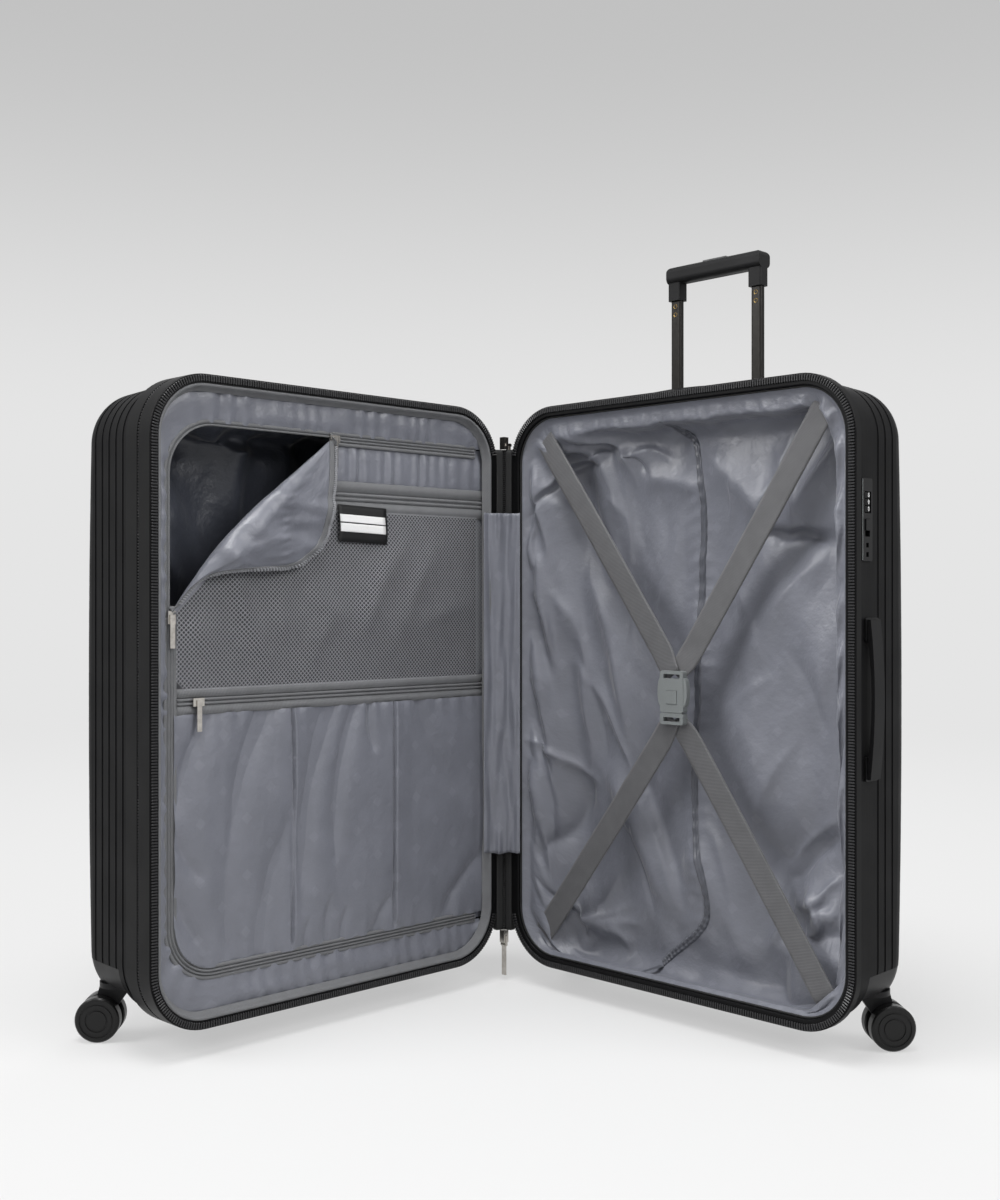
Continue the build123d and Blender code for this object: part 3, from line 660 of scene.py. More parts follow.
# Folds of the lining on its flat cloth's chart: from, to, width, height
base_folds = [
    (104, 560, 190, 380, 26, 22), (44, 580, 104, 330, 18, 16), (140, 322, 296, 176, 28, 22),
    (184, 352, 310, 200, 22, -12), (28, 330, 54, 205, 8, 11), (16, 295, 44, 165, 8, 10),
    (14, 620, 34, 380, 9, 10),
    (24, 800, 150, 655, 16, 14), (84, 800, 196, 690, 15, 14), (160, 712, 250, 698, 17, 15),
    (236, 676, 330, 664, 13, 12), (342, 706, 452, 604, 24, 17), (430, 608, 540, 592, 12, -13),
    (440, 566, 530, 440, 44, 14), (430, 232, 540, 284, 26, -15), (480, 212, 548, 192, 9, 12),
    (496, 226, 516, 180, 8, 11), (452, 168, 516, 104, 11, 13), (60, 110, 154, 142, 17, 14),
    (150, 146, 190, 118, 11, 11), (306, 260, 406, 144, 26, 15), (620, 812, 478, 640, 20, 14),
    (614, 40, 500, 182, 14, 12), (22, 40, 142, 186, 16, 14), (120, 650, 176, 550, 16, 12),
    (380, 420, 440, 300, 30, 9),
]
# Small puckers beside the seam
base_folds += [(313, y, 347, y + 7, 5, 3.5 + 2 * ripple(y, 0.5)) for y in range(150, 690, 17)]
base_tray = lining_place(
    in_base, front=5, back=74, inset=20, bend=26, spine_lean=46, loose=6, folds=base_folds
)
base_lining = lay_cloth("base_lining_cloth", *BASE_GRID, FOLD_CHART, base_tray, BASE_FRONT)
settle(base_lining, hem_points(*BASE_GRID), frames=30, growth=0.035, stiffness=0.15, cap=18)
# Kept clear of the rim's lip, the back, the wheel recesses and the lower wall
BASE_LIP, BASE_BACK, BASE_RECESS, BASE_LOWER_WALL = 4.6, 84, 50, 9.8
for vertex in base_lining.data.vertices:
    u, w, v = from_base(vertex.co)
    deepest = BASE_BACK - BASE_RECESS * over_wheels(u, v)
    vertex.co = in_base(u, min(max(w, BASE_LIP), deepest), max(v, BASE_LOWER_WALL))
smoothed(base_lining)
# Sharp creases on the same chart
base_creases = [
    (55, 550, 101, 439, 7, 6), (101, 439, 218, 290, 8, 7), (86, 469, 132, 359, 6, -5),
    (14, 582, 46, 468, 7, 5), (14, 614, 22, 677, 5, 6), (14, 671, 22, 582, 6, -5),
    (172, 673, 183, 480, 9, 3), (132, 660, 183, 624, 5, 3),
    (437, 608, 530, 592, 4.5, -7), (440, 615, 516, 612, 6, 5), (470, 708, 434, 647, 7, 6),
    (452, 696, 475, 627, 6, 4), (390, 677, 380, 622, 6, 4), (183, 712, 238, 685, 5, -6),
    (218, 716, 284, 698, 6, 5), (22, 688, 119, 702, 6, -6), (38, 705, 132, 715, 6, 5),
    (55, 674, 86, 626, 6, 4), (14, 333, 104, 318, 5, 6), (104, 318, 38, 183, 6, -6),
    (14, 298, 22, 176, 6, 5), (218, 294, 299, 190, 8, 6),
    (183, 263, 250, 179, 6, -4), (470, 230, 533, 281, 6, -8), (464, 247, 533, 298, 7, 5),
    (497, 222, 517, 191, 4.5, 6), (511, 213, 535, 235, 4.5, 6), (517, 191, 496, 162, 4.5, 5),
    (502, 203, 528, 211, 4.5, -6), (55, 113, 178, 169, 6, 6), (30, 131, 96, 112, 5, -6),
    (93, 134, 208, 152, 6, 4), (440, 158, 487, 205, 6, 5), (415, 282, 470, 369, 9, 4),
    (351, 276, 390, 193, 7, 4), (390, 548, 427, 484, 8, 3), (299, 621, 250, 510, 8, 3),
    (377, 409, 440, 448, 9, 3), (440, 511, 511, 568, 9, 4), (475, 475, 521, 398, 9, -3),
]
crease(base_lining, base_creases)
dress(base_lining, "base", "lining_cloth", loose_satin, "base_lining")

lid_folds = [
    (600, 800, 440, 560, 26, 26), (520, 820, 380, 690, 20, 22), (560, 640, 470, 540, 22, 20),
    (400, 780, 396, 600, 12, 16), (610, 620, 500, 480, 20, 20), (330, 800, 300, 560, 24, 20),
]
lid_tray = lining_place(
    in_lid, front=44, back=140, inset=16, bend=26, spine_lean=0, loose=12, folds=lid_folds
)
lid_lining = lay_cloth("lid_lining_cloth", *LID_GRID, (720, 920), lid_tray, LID_FRONT)
settle(lid_lining, hem_points(*LID_GRID), frames=24, growth=0.05, stiffness=0.3, cap=24)
LID_BACK, LID_RECESS = 154, 80
for vertex in lid_lining.data.vertices:
    u, w, v = from_lid(vertex.co)
    deepest = LID_BACK - LID_RECESS * over_wheels(u, v)
    vertex.co = in_lid(u, min(w, deepest), v)
smoothed(lid_lining)
# The lid's lining is darkened by its satin: painted shade
dress(lid_lining, "lid_shell", "lining_cloth", lid_shade_satin, "lid_lining")


# Seam of the lining, where it is sewn up over the handle's tubes

SEAM_STEPS = 260
SEAM_TAPER = 14
seam_line = [
    (222, 676), (240, 668), (262, 649), (273, 596), (270, 544), (265, 477), (262, 389), (260, 310),
    (257, 232), (264, 181), (281, 131), (281, 92), (266, 69), (245, 52), (226, 37), (215, 26), (210, 20),
]


def seam_path(share):
    """Point and heading on the seam's line, rounded between its points."""
    def at(part):
        span = min(max(part, 0), 1) * (len(seam_line) - 1)
        index = min(max(int(span), 1), len(seam_line) - 3)
        before, start, end, after = [Vector(seam_line[index + step]) for step in (-1, 0, 1, 2)]
        k = span - index
        return 0.5 * (
            2 * start + (end - before) * k + (2 * before - 5 * start + 4 * end - after) * k * k
            + (3 * start - before - 3 * end + after) * k ** 3
        )
    here, ahead = at(share), at(share + 0.002) - at(share - 0.002)
    return here.x, here.y, math.degrees(math.atan2(ahead.y, ahead.x))


def on_lining(point):
    """Depth of the lining's face behind a point, in metres."""
    before = Vector((point.x, in_base(0, -5, 0).y, point.z))
    hit, where, normal, face = base_lining.ray_cast(before, (0, 1, 0))
    return where.y if hit else point.y


# Two welts with a groove between them: offset and height
seam_sides = [
    (-4.6, -0.4), (-3.6, 1.4), (-2.0, 2.2), (-0.6, 0.5), (0.6, 0.5), (2.0, 2.2), (3.6, 1.4), (4.6, -0.4),
]
seam_profile = [(offset, 60) for offset, height in seam_sides]
seam = lay_ribbon("access_seam", in_base, seam_profile, seam_path, SEAM_STEPS, BASE_FRONT)
for index, vertex in enumerate(seam.data.vertices):
    side, step = divmod(index, SEAM_STEPS + 1)
    pucker = 0.7 + 0.5 * math.sin(step * 1.25) + 0.4 * ripple(step / 7, side)
    # Both ends sink into the cloth
    ends = soft(0, SEAM_TAPER, step) * soft(SEAM_STEPS, SEAM_STEPS - SEAM_TAPER, step)
    stands = (0.5 + seam_sides[side][1] * pucker) * ends - 2.5 * (1 - ends)
    vertex.co.y = on_lining(vertex.co) - stands * MM
# The seam is darkened by its satin: painted shade along the seam
dress(seam, "base", "lining_cloth", seam_shade_satin)


# Divider: border, panel, pockets and their zips, with how deep each lies in the lid

BORDER_DEPTH, PANEL_DEPTH, NET_DEPTH, POCKET_DEPTH, CORNER_DEPTH = 13.2, 15.6, 13.0, 11.4, 12.5
BORDER_INSET = 13.2
PANEL_FOOT, PANEL_SIZE = (9, 54), (470, 604)
SHADED_U, SHADED_V = (24, 472), (64, 600)
NET_BAND, POCKET_BAND = (569, 606), (340, 369)
NET_FOOT, NET_HEIGHT = 366, 206
POCKET_FOOT, POCKET_SIZE = (474, 62), (459, 279)
PLEATS = ((164, 2), (318, -4))


def border_place(s, t):
    """Cloth between the zipped track and the rim, gathered along both its edges."""
    u, v, heading = track_point(4, s, 20)
    turn = math.radians(heading + 90)
    du, dv = math.cos(turn), math.sin(turn)
    reach, step = 0.0, 40.0
    while step > 0.1:
        if room_inside(BORDER_INSET, u + (reach + step) * du, v + (reach + step) * dv) > 0:
            reach += step
        step /= 2
    out = reach * t
    run = s * (TRACK_LENGTH + 30)
    gather = math.sin(run / 3.4 + 4 * ripple(run / 60, 0.3)) * (0.4 + 0.6 * abs(2 * t - 1))
    swell = 3.4 * math.sin(math.pi * t) * (0.6 + 0.8 * ripple(run / 48, t * 2))
    gather *= 1.7 * max(0.6 + 1.2 * ripple(run / 70, 9.0), 0.2)
    return in_lid(u + out * du, BORDER_DEPTH - 2.2 * t - swell - gather, v + out * dv)


border = lay_cloth("divider_border", 560, 10, (1480, 40), border_place, LID_FRONT)
dress(border, "lid_frame", "lining_cloth", satin)


def panel_place(s, t):
    """Main cloth of the divider, drawn in along the tape of the net's zip."""
    u, v = PANEL_FOOT[0] + PANEL_SIZE[0] * s, PANEL_FOOT[1] + PANEL_SIZE[1] * t
    gather = math.sin(u / 2.9 + 3 * ripple(u / 50, 1.0)) * (0.5 + 0.9 * ripple(u / 26, v / 90))
    upper = soft(598, 610, v) * soft(654, 636, v)
    return in_lid(u, PANEL_DEPTH - upper * (1.6 + 2.0 * gather), v)


fold_along = (FOLD_SIDE - FOLD_TOP).normalized()
corner_way = Vector((-fold_along.y, fold_along.x))
fold_normal = (in_lid(corner_way.x, 0, corner_way.y) - in_lid(0, 0, 0)).normalized()
fold_point = in_lid(FOLD_TOP.x, 14, FOLD_TOP.y)

panel = lay_cloth("divider_cloth", 260, 120, PANEL_SIZE, panel_place, LID_FRONT)
cut_away(panel, fold_point, fold_normal)
dress(panel, "lid_frame", "lining_cloth", satin, "divider_panel")
# Behind the net and the pocket the cloth takes a darker satin: painted shade of the net and the pocket
panel.data.materials.append(shaded_satin)
for face in panel.data.polygons:
    u, w, v = from_lid(face.center)
    face.material_index = int(SHADED_U[0] < u < SHADED_U[1] and SHADED_V[0] < v < SHADED_V[1])

half_tape = [
    (8.2, 13.6), (7.8, 12.0), (4.3, 11.8), (3.9, 13.8), (3.1, 13.8), (2.8, 11.2), (1.1, 11.0), (0.6, 13.6),
]
whole_tape = half_tape + [(-offset, w) for offset, w in reversed(half_tape)]


def track_part(name, profile, start, end, count):
    """Zip tape along a part of the divider's track."""
    def path(share):
        return track_point(0, start + (end - start) * share)

    tape = lay_ribbon(name, in_lid, profile, path, count, LID_FRONT)
    thicken(tape, 0.5, -1)
    dress(tape, "lid_frame", "tape_cloth", grey_tape)
    return tape


track_part("track_tape_upper", whole_tape, 0, FOLD_TOP_SHARE, 60)
track_part("track_tape_open", half_tape, FOLD_TOP_SHARE, FOLD_SIDE_SHARE, 160)
lower_track = track_part("track_tape_lower", whole_tape, FOLD_SIDE_SHARE, 1, 260)
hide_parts("divider_zippers")


def flat_band(name, v0, v1, u0, u1):
    """Zip band across the divider; its profile holds shares of its height and depths."""
    last = len(band_profile) - 1

    def place(s, t):
        share, w = band_profile[round(t * last)]
        return in_lid(u0 + (u1 - u0) * s, w, v0 + (v1 - v0) * share)

    band = lay_cloth(name, 120, last, (u1 - u0, v1 - v0), place, LID_FRONT)
    thicken(band, 0.5, -1)
    dress(band, "lid_frame", "tape_cloth", grey_tape)
    return band


band_profile = [
    (0, 13.6), (0.02, 12.2), (0.33, 12.0), (0.345, 13.8), (0.37, 13.8), (0.385, 11.4), (0.46, 11.2),
    (0.475, 13.6), (0.525, 13.6), (0.54, 11.2), (0.615, 11.4), (0.63, 13.8), (0.655, 13.8), (0.67, 12.0),
    (0.98, 12.2), (1, 13.6),
]
net_band = flat_band("net_zip_band", *NET_BAND, 15, 340)
cut_away(net_band, fold_point, fold_normal)
flat_band("pocket_zip_band", *POCKET_BAND, 15, 470)

# Folds of the net, on the divider: from, to, width, height
net_folds = [
    (404, 520, 338, 376, 14, 6), (330, 490, 332, 420, 18, 6), (292, 482, 248, 444, 14, 5),
    (140, 548, 222, 410, 20, 8), (86, 548, 172, 380, 18, 6), (426, 406, 452, 440, 14, 6),
    (264, 440, 296, 376, 14, 5), (36, 460, 130, 430, 18, 5),
]


def net_lift(u, v):
    """How far the net stands off the divider cloth."""
    belly = math.sin(math.pi * min(max((v - NET_FOOT) / NET_HEIGHT, 0), 1))
    return 0.8 + belly * (1.8 + 1.6 * ripple(u / 70, v / 50, 2.0) + pressed(net_folds, u, v))


def pocket_net():
    """Knitted net with lozenge holes. Holes of 3.1 mm are drawn at 3.7 mm, so that they show."""
    cells, pitch, thread = 122, 3.7, 1.0
    middle, half_width, half_height = (243, 469), 228, 102
    pick()
    bpy.ops.mesh.primitive_grid_add(x_subdivisions=cells, y_subdivisions=cells, size=cells * pitch)
    net = named("pocket_net")
    edit_all()
    bpy.ops.transform.rotate(value=math.radians(45), orient_axis="Z", center_override=(0, 0, 0))
    sides = (
        ((1, 0, 0), half_width), ((-1, 0, 0), half_width),
        ((0, 1, 0), half_height), ((0, -1, 0), half_height),
    )
    for normal, reach in sides:
        bpy.ops.mesh.select_all(action="SELECT")
        bpy.ops.mesh.bisect(plane_co=[part * reach for part in normal], plane_no=normal, clear_outer=True)
    bpy.ops.mesh.select_all(action="SELECT")
    bpy.ops.mesh.inset(thickness=thread / 2, use_individual=True, use_boundary=True)
    bpy.ops.mesh.delete(type="FACE")
    edit_done()
    for corner in net.data.uv_layers.active.uv:
        corner.vector = corner.vector * cells * pitch * MM
    for vertex in net.data.vertices:
        u, v = middle[0] - vertex.co.x, middle[1] + vertex.co.y
        vertex.co = in_lid(u, NET_DEPTH - net_lift(u, v), v)
    bpy.ops.object.shade_smooth()
    return net


net = pocket_net()
cut_away(net, fold_point, fold_normal)
dress(net, "lid_frame", "mesh_cloth", net_thread, "mesh_pocket")


# Folds of the pocket, on the divider: from, to, width, depth
pocket_folds = [
    (422, 350, 470, 245, 9, 4.5), (349, 350, 398, 220, 10, 6), (260, 350, 304, 130, 12, 6),
    (224, 345, 256, 170, 8, 4.5), (202, 350, 199, 290, 4, 3), (128, 345, 60, 222, 14, 3.5),
    (398, 220, 398, 62, 14, 4), (326, 205, 362, 62, 14, 4.5),
    (472, 208, 444, 164, 8, 3), (474, 150, 438, 86, 9, 3.5), (24, 134, 88, 62, 9, 4),
    (170, 104, 200, 58, 7, 3.5),
    (266, 108, 268, 56, 4, 3), (240, 96, 246, 56, 4, 2.5), (296, 92, 300, 56, 4, 2.5),
]


def pleat_place(s, t):
    """Slack pocket front with two pleats, gathered at its upper and lower edges."""
    u, v = POCKET_FOOT[0] - POCKET_SIZE[0] * s, POCKET_FOOT[1] + POCKET_SIZE[1] * t
    # Its lower corner is rounded with the track
    centre, radius = Vector((423, 112)), 50
    corner = Vector((u, v)) - centre
    if corner.x > 0 and corner.y < 0 and corner.length > radius:
        u, v = centre + corner.normalized() * radius
    w = POCKET_DEPTH
    hang = math.sin(math.pi * t) ** 0.5
    sewn = soft(0.0, 0.06, t)
    for pleat, sway in PLEATS:
        aside = pleat + sway * math.sin(3 * t) - u
        if aside > 0:
            w -= 3.0 * sewn * math.exp(-aside / 18)
        w += 6.0 * sewn * math.exp(-((aside + 0.8) / 1.5) ** 2)
    swell = ripple(u / 44 + 0.8 * t, t * 1.3, 4.0) + 0.4 * ripple(u / 19 + t, t * 2.5, 8.0)
    w += 1.5 * pressed(pocket_folds, u, v) - 2.0 * hang * swell - 3.4 * hang
    tuck = math.sin(u / 4.2 + 3 * ripple(u / 40, 6.0))
    w -= 0.9 * tuck * math.exp(-t / 0.06) + 1.1 * tuck * math.exp(-(1 - t) / 0.05)
    return in_lid(u, min(max(w, 3.0), 14.6), v)


pleats = lay_cloth("pleated_pocket", 460, 110, (480, 285), pleat_place, LID_FRONT)
dress(pleats, "lid_frame", "lining_cloth", satin, "pleat_pocket")


# Unzipped corner, turned down over the net

ROLL = 13.0
FOLD_LENGTH = (FOLD_SIDE - FOLD_TOP).length


def flap_point(s, t):
    """Corner cloth folded over a soft roll: s runs along the free edge, t from the fold to that edge."""
    free_edge = track_point(-1, FOLD_TOP_SHARE + (FOLD_SIDE_SHARE - FOLD_TOP_SHARE) * s)
    fold_at = FOLD_TOP + (FOLD_SIDE - FOLD_TOP) * s
    flat = fold_at + (Vector(free_edge[:2]) - fold_at) * t - FOLD_TOP
    along, away = flat.dot(fold_along), max(flat.dot(corner_way), 0)
    middle = math.sin(math.pi * min(max(along / FOLD_LENGTH, 0), 1) ** 1.4)
    radius = 2.0 + ROLL * middle
    turn = min(away / radius, math.pi * (0.97 - 0.42 * soft(0.68, 0.95, s)))
    rest = max(away - radius * turn, 0)
    lean = math.radians(-11 * middle)
    # The slack cloth is wrinkled across the fold, and its corner slides towards the upper slider
    drawn = 0.88 - 0.8 * soft(0.55, 0.92, s)
    rise = 1.4 * radius * math.sin(turn) - drawn * rest * math.cos(lean)
    out = 0.9 * radius * (1 - math.cos(turn)) + rest * math.sin(lean)
    wave = ripple(along / 38, away / 42, 5.0) * 6 + ripple(along / 17, away / 26, 2.0) * 3
    # It is puckered along the stitches that held it to the net's zip band
    stitch = flat.y + FOLD_TOP.y - NET_BAND[1]
    pucker = math.exp(-abs(stitch) / 5) * (1.6 + 1.3 * math.sin(flat.x / 2.2))
    out += (wave + pucker) * min(away / 30, 1) * middle
    place = FOLD_TOP + fold_along * (along - 0.42 * rest) + corner_way * rise
    return place.x, CORNER_DEPTH - max(out, net_lift(place.x, place.y) + 0.6), place.y


def flap_place(s, t):
    return in_lid(*flap_point(s, t))


flap = lay_cloth("unzipped_corner", 90, 60, (300, 130), flap_place, LID_FRONT)
finish_with(flap, "WELD", merge_threshold=0.2 * MM)
smoothed(flap)
thicken(flap, 0.6)
dress(flap, "lid_frame", "lining_cloth", satin, "divider_flap")


def edge_tape_place(s, t):
    """Zip tape sewn along the corner's free edge."""
    inner = Vector(flap_point(s, 0.94))
    outer = Vector(flap_point(s, 1))
    way = outer - inner
    way = way.normalized() if way.length > 1e-6 else Vector((0, 0, 0))
    point = outer + way * (11 * t - 4)
    return in_lid(point.x, point.y - 0.9, point.z)


edge_tape = lay_cloth("corner_edge_tape", 120, 6, (300, 11), edge_tape_place, LID_FRONT)
thicken(edge_tape, 0.6)
dress(edge_tape, "lid_frame", "tape_cloth", grey_tape)


def edge_coil():
    """The open half of the zip's coil along the corner's edge."""
    count, slant = 110, 0.5
    out = Vector(LID_FRONT)
    points = [edge_tape_place(0.03 + 0.94 * index / count, 0.8) for index in range(count + 1)]
    places = []
    for before, here, after in zip(points, points[1:], points[2:]):
        along = (after - before).normalized()
        across = out.cross(along).normalized()
        turned = Matrix((along, across, along.cross(across))).transposed().to_4x4()
        at = Matrix.Translation(here + out * 1.2 * MM)
        places.append(at @ turned @ Matrix.Rotation(slant, 4, "Z"))
    return repeat("corner_zip_coil", zip_tooth(4.4, 2.0, 2.4), places)


coil = edge_coil()
dress(coil, "lid_frame", "tape_cloth", net_thread)


# Name card, hung from the net's zip band

CARD_MIDDLE = (216, 555)
CARD_TILT = 0.03


def card_piece(name, u0, u1, v0, v1, w, material):
    """Card or a field on it, slightly tilted and bowed, its lower edge standing off the net."""
    def place(s, t):
        u, v = u0 + (u1 - u0) * s, v0 + (v1 - v0) * t
        du, dv = u - CARD_MIDDLE[0], v - CARD_MIDDLE[1]
        sway = 1.2 * math.sin(math.pi * (v - 533) / 43)
        stands = w - sway - 3.0 * soft(576, 540, v)
        return in_lid(CARD_MIDDLE[0] + du - CARD_TILT * dv, stands, CARD_MIDDLE[1] + dv + CARD_TILT * du)

    card = lay_cloth(name, 12, 8, (u1 - u0, v1 - v0), place, LID_FRONT)
    thicken(card, 0.35)
    dress(card, "lid_frame", "lining_cloth", material)


card_piece("name_card", 179, 253, 533, 577, 10.6, card_black)
card_piece("name_card_field_upper", 182, 251, 556.5, 565.5, 10.2, card_white)
card_piece("name_card_field_lower", 182, 251, 545, 555, 10.2, card_white)


# Spine: zip tape on the hinge and the inner gusset cloth

SPINE_FOOT, SPINE_HEIGHT = 66, 624
GUSSET_FOOT, GUSSET_HEIGHT = 168, 439


def spine_tape_place(s, t):
    """Tape from one rim to the other round the hinge axis."""
    corners = ((9.4, 10), (9.4, 3.5), (4.6, 1.8), (0.4, 0.4), (-1.8, -4.6), (-3.5, -9.4), (-10, -9.4))
    span = s * (len(corners) - 1)
    index = min(int(span), len(corners) - 2)
    part = span - index
    x, y = [a * (1 - part) + b * part for a, b in zip(corners[index], corners[index + 1])]
    return at_hinge(x, y, SPINE_FOOT + SPINE_HEIGHT * t)


spine_tape = lay_cloth("spine_zip_tape", 24, 120, (30, SPINE_HEIGHT), spine_tape_place, SPINE_FRONT)
thicken(spine_tape, 1.0)
dress(spine_tape, None, "tape_cloth", black_tape, "hinge_tape")
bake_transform(spine_tape)

upright = Matrix.Rotation(math.radians(45), 4, "Z") @ Matrix.Rotation(math.radians(90), 4, "Y")
coil_places = [
    Matrix.Translation(at_hinge(1.4, -1.4, SPINE_FOOT + 1.5 + index * 2.6)) @ upright for index in range(240)
]
spine_coil = repeat("spine_zip_teeth", zip_tooth(4.6, 1.7, 2.6), coil_places)
dress(spine_coil, None, "zipper_nylon", trim_plastic)
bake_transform(spine_coil)


def gusset_place(s, t):
    """Slack cloth across the inner corner, with folds that run up and down."""
    start, mid, end = Vector((26, 3.2)), Vector((7.5, -10)), Vector((-3.6, -33))
    point = start * (1 - s) * (1 - s) + (mid * 2 - (start + end) / 2) * 2 * s * (1 - s) + end * s * s
    out = Vector((0.72, -0.69))
    folds = math.sin(s * 13 + 2.2 * ripple(t * 5, 1.0)) * 2.0 + ripple(s * 6, t * 6, 3.0) * 3.0
    gathers = math.sin(s * 34 + 3 * ripple(t * 3, 2.0)) * (math.exp(-t / 0.06) + math.exp(-(1 - t) / 0.06))
    point = point + out * (folds + gathers) * soft(0, 0.15, s) * soft(1, 0.85, s)
    uneven = 2.4 * ripple(s * 2.5, t * 9, 6.0) * (soft(0.1, 0, t) + soft(0.9, 1, t))
    return at_hinge(point.x, point.y, GUSSET_FOOT + GUSSET_HEIGHT * t + uneven)


gusset = lay_cloth("spine_gusset_cloth", 42, 110, (54, GUSSET_HEIGHT), gusset_place, SPINE_FRONT)
thicken(gusset, 0.5)
dress(gusset, None, "lining_cloth", satin, "spine_gusset")
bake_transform(gusset)


# Cross straps

STRAP_WIDTH = 30


def strap_piece(name, corner, end, w, *replaced):
    """Webbing from a corner of the lining to the buckle, its end turned through the buckle's slot."""
    start, stop = Vector(corner), Vector(end)
    way = (stop - start).normalized()
    side = Vector((-way.y, way.x))
    length = (stop - start).length

    def place(s, t):
        twist = 0.12 * math.sin(2.2 * s + corner[0]) * (1 - s)
        off = (t - 0.5) * STRAP_WIDTH
        narrow = 1 - 0.22 * soft(0.93, 1.0, s)
        sag = 1.4 * math.sin(math.pi * s)
        near = soft(0.9, 1.0, s) * 4.2
        deep = 14 * soft(0.06, 0.0, s)
        spot = start + way * length * s + side * off * narrow
        return in_base(spot.x, w + sag + deep - near + off * twist * 0.3, spot.y)

    strap = lay_cloth(name, 70, 10, (length, STRAP_WIDTH), place, BASE_FRONT)
    thicken(strap, 1.3)
    dress(strap, "base", "webbing", webbing, *replaced)


strap_piece("strap_upper_spine_side", (36, 687), (260, 376), 12.6, "strap_upper")
strap_piece("strap_upper_outer_side", (472, 688), (264, 376), 14.4)
strap_piece("strap_lower_spine_side", (35, 23), (260, 326), 12.6, "strap_lower")
strap_piece("strap_lower_outer_side", (473, 22), (264, 326), 14.4)


# Screws under the grip, digits of the lock and a strip on its edge with a painted highlight, cheeks of the
# buckle


def turned_disc(name, sides, radius, depth):
    """Disc in edit mode, all selected, its axis turned along y."""
    pick()
    bpy.ops.mesh.primitive_cylinder_add(vertices=sides, radius=radius, depth=depth)
    disc = named(name)
    edit_all()
    bpy.ops.transform.rotate(value=math.radians(90), orient_axis="X", center_override=(0, 0, 0))
    return disc


def screw_head():
    """Screw head let into the tube, with a recess in its face, facing -y."""
    head = turned_disc("screw", 20, 2.7 * MM, 1.2 * MM)
    bpy.ops.mesh.bevel(offset=0.15 * MM, segments=2, affect="EDGES")
    bpy.ops.mesh.select_mode(type="FACE")
    bpy.ops.mesh.select_all(action="DESELECT")
    edit_done()
    for face in head.data.polygons:
        face.select = face.normal.y < -0.99
    bpy.ops.object.mode_set(mode="EDIT")
    bpy.ops.mesh.inset(thickness=1.8 * MM)
    bpy.ops.transform.translate(value=(0, 0.6 * MM, 0))
    edit_done()
    return head


TUBE_FACE = 95.95
screw_spots = [Matrix.Translation(in_base(u, TUBE_FACE, v)) for u in (194.5, 315.5) for v in (831, 821)]
screws = repeat("grip_screws", screw_head(), screw_spots)
dress(screws, "handle_inner", "steel", brass)


DIAL_FACE, DIAL_MIDDLE = 507.75, 28


def dial_digit(name, v, body):
    """Printed number on a dial's face, seen from the case's side."""
    pick()
    facing_out = (math.radians(90), 0, math.radians(90))
    bpy.ops.object.text_add(location=in_base(DIAL_FACE, DIAL_MIDDLE, v), rotation=facing_out)
    text = bpy.context.object.data
    text.body = "0"
    text.size = 6.5 * MM
    text.extrude = 0.15 * MM
    text.align_x = "CENTER"
    text.align_y = "CENTER"
    bpy.ops.object.convert(target="MESH")
    bpy.ops.object.transform_apply(location=True, rotation=True)
    dress(named(name), body, "lock_plastic", dial_ink)


dial_digit("dial_number_lower", 561.2, "dial_1")
dial_digit("dial_number_middle", 568.5, "dial_2")
dial_digit("dial_number_upper", 575.8, "dial_3")


def buckle_cheek(name, u, way):
    """Rounded side of the buckle's socket, where it is pinched to open."""
    middle = in_base(u, 7.4, 357)
    cheek = turned_disc(name, 48, 0.5, 1)
    bpy.ops.transform.resize(value=(10 * MM, 7.4 * MM, 34 * MM))
    bpy.ops.transform.translate(value=middle)
    edit_done()
    cut_away(cheek, middle, (-way, 0, 0))
    finish_with(cheek, "BEVEL", width=0.7 * MM, segments=2)
    dress(cheek, "base", "buckle_plastic", buckle_plastic)


buckle_cheek("buckle_cheek_spine_side", 245.2, -1)
buckle_cheek("buckle_cheek_outer_side", 278.8, 1)

# Thin strip along the lock's edge in pale grey: painted highlight of the edge
lock_edge_highlight = eased_block("lock_edge_painted_highlight", (0.9, 0.9, 86), 0.25, 2)
lock_edge_highlight.data.transform(Matrix.Translation(in_base(506.4, 18.2, 550)))
dress(lock_edge_highlight, "base", "lock_plastic", buckle_plastic)


# Stage, light and camera


def rays_that_see(tree):
    """One for each ray that shows the background: direct, mirrored or through something clear."""
    rays = node(tree, "LightPath").outputs
    opaque = node(tree, "Math", {0: rays["Is Camera Ray"], 1: rays["Is Glossy Ray"]}, operation="MAXIMUM")
    return node(tree, "Math", {0: opaque, 1: rays["Is Transmission Ray"]}, operation="MAXIMUM")


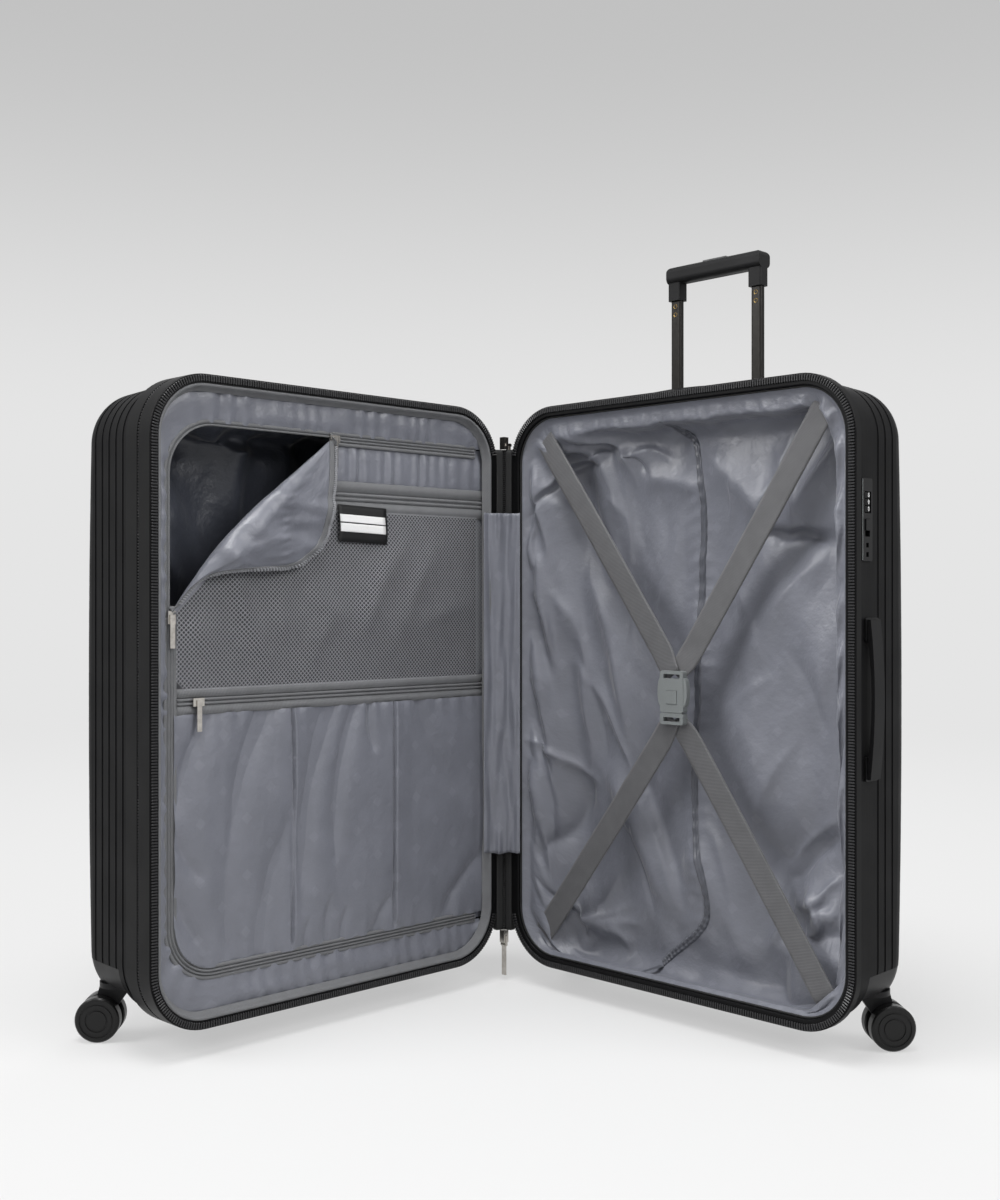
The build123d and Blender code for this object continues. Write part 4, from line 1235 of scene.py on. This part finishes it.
def pale_stage():
    """Wide pale floor that shades off into the backdrop."""
    pick()
    bpy.ops.mesh.primitive_plane_add(size=60, location=(0, 0, -0.5 * MM))
    floor = named("pale_floor")
    bpy.ops.object.transform_apply(location=True)
    material, tree, shader = begin(
        "pale_floor_paint", Roughness=0.8, Specular_IOR_Level=0.2, Base_Color=linear("#c2c2c2")
    )
    where = node(tree, "TexCoord").outputs["Object"]
    away = node(tree, "VectorMath", {0: where}, operation="LENGTH").outputs["Value"]
    far = node(tree, "MapRange", {0: away, 1: 0.7, 2: 4.5, 3: 0, 4: 1}, interpolation_type="SMOOTHSTEP")
    colour = node(tree, "Mix", {0: far, 6: linear("#f0f0f0"), 7: linear("#e5e5e5")}, data_type="RGBA")
    # Close to the object the paint takes its shadows, further off it evens out
    near = node(tree, "MapRange", {0: away, 1: 0.4, 2: 1.2, 3: 0, 4: 1}, interpolation_type="SMOOTHSTEP")
    strength = node(tree, "MapRange", {0: near, 1: 0, 2: 1, 3: 1.13, 4: 1.0})
    glow = node(tree, "Emission", {"Color": colour, "Strength": strength})
    spread = node(tree, "MapRange", {0: near, 1: 0, 2: 1, 3: 0.5, 4: 0.96})
    share = node(tree, "MapRange", {0: far, 1: 0, 2: 1, 3: spread, 4: 1.0})
    seen = node(tree, "Math", {0: rays_that_see(tree), 1: share}, operation="MULTIPLY")
    both = node(tree, "MixShader", {0: seen, 1: shader, 2: glow})
    tree.links.new(both.outputs[0], tree.nodes["Material Output"].inputs["Surface"])
    floor.data.materials.append(material)


def pale_backdrop():
    """World that shows a pale backdrop, darker upwards, and lights the object with a dim grey."""
    world = bpy.data.worlds.new("studio")
    bpy.context.scene.world = world
    world.use_nodes = True
    sky = world.node_tree
    direction = node(sky, "TexCoord").outputs["Generated"]
    height = node(sky, "SeparateXYZ", {0: direction}).outputs[2]
    level = node(sky, "MapRange", {0: height, 1: 0.1, 2: 0.4, 3: 0, 4: 1}, interpolation_type="SMOOTHSTEP")
    colour = node(sky, "Mix", {0: level, 6: linear("#e5e5e5"), 7: linear("#c1c1c1")}, data_type="RGBA")
    dim = node(sky, "Background", {0: linear("#c8c8c8"), 1: 0.42})
    shown = node(sky, "Background", {0: colour, 1: 1.0})
    chosen = node(sky, "MixShader", {0: rays_that_see(sky), 1: dim, 2: shown})
    sky.links.new(chosen.outputs[0], sky.nodes["World Output"].inputs["Surface"])


pale_stage()
pale_backdrop()


def softbox(name, place, aim, size, watts):
    lamp = bpy.data.lights.new(name, "AREA")
    lamp.size = size
    lamp.energy = watts
    box = bpy.data.objects.new(name, lamp)
    box.location = place
    box.rotation_euler = (Vector(aim) - Vector(place)).to_track_quat("-Z", "Y").to_euler()
    bpy.context.collection.objects.link(box)


# Place, aim and size in metres, power in watts
softbox("key", (-1.0, -2.1, 2.0), (0.1, 0.2, 0.4), 1.3, 46)
softbox("right", (2.0, 0.5, 1.9), (-0.2, 0.0, 0.4), 1.3, 36)
softbox("front", (1.5, -1.5, 1.5), (-0.1, 0.1, 0.4), 1.2, 6)
softbox("back", (-1.4, 2.0, 2.0), (0, 0.1, 0.4), 1.4, 14)
softbox("top", (0.3, -0.7, 2.6), (0.1, 0.2, 0.2), 1.2, 54)

camera = bpy.data.cameras.new("camera")
camera.sensor_fit = "VERTICAL"
camera.sensor_height = 36
camera.lens = 42.96
camera.clip_end = 50
camera_place = bpy.data.objects.new("camera", camera)
camera_place.location = (1.1511, -1.1182, 0.4948)
camera_place.rotation_euler = Vector((-0.7127, 0.7015, 0)).to_track_quat("-Z", "Y").to_euler()
bpy.context.collection.objects.link(camera_place)
bpy.context.scene.camera = camera_place
bpy.context.scene.view_settings.view_transform = "Standard"
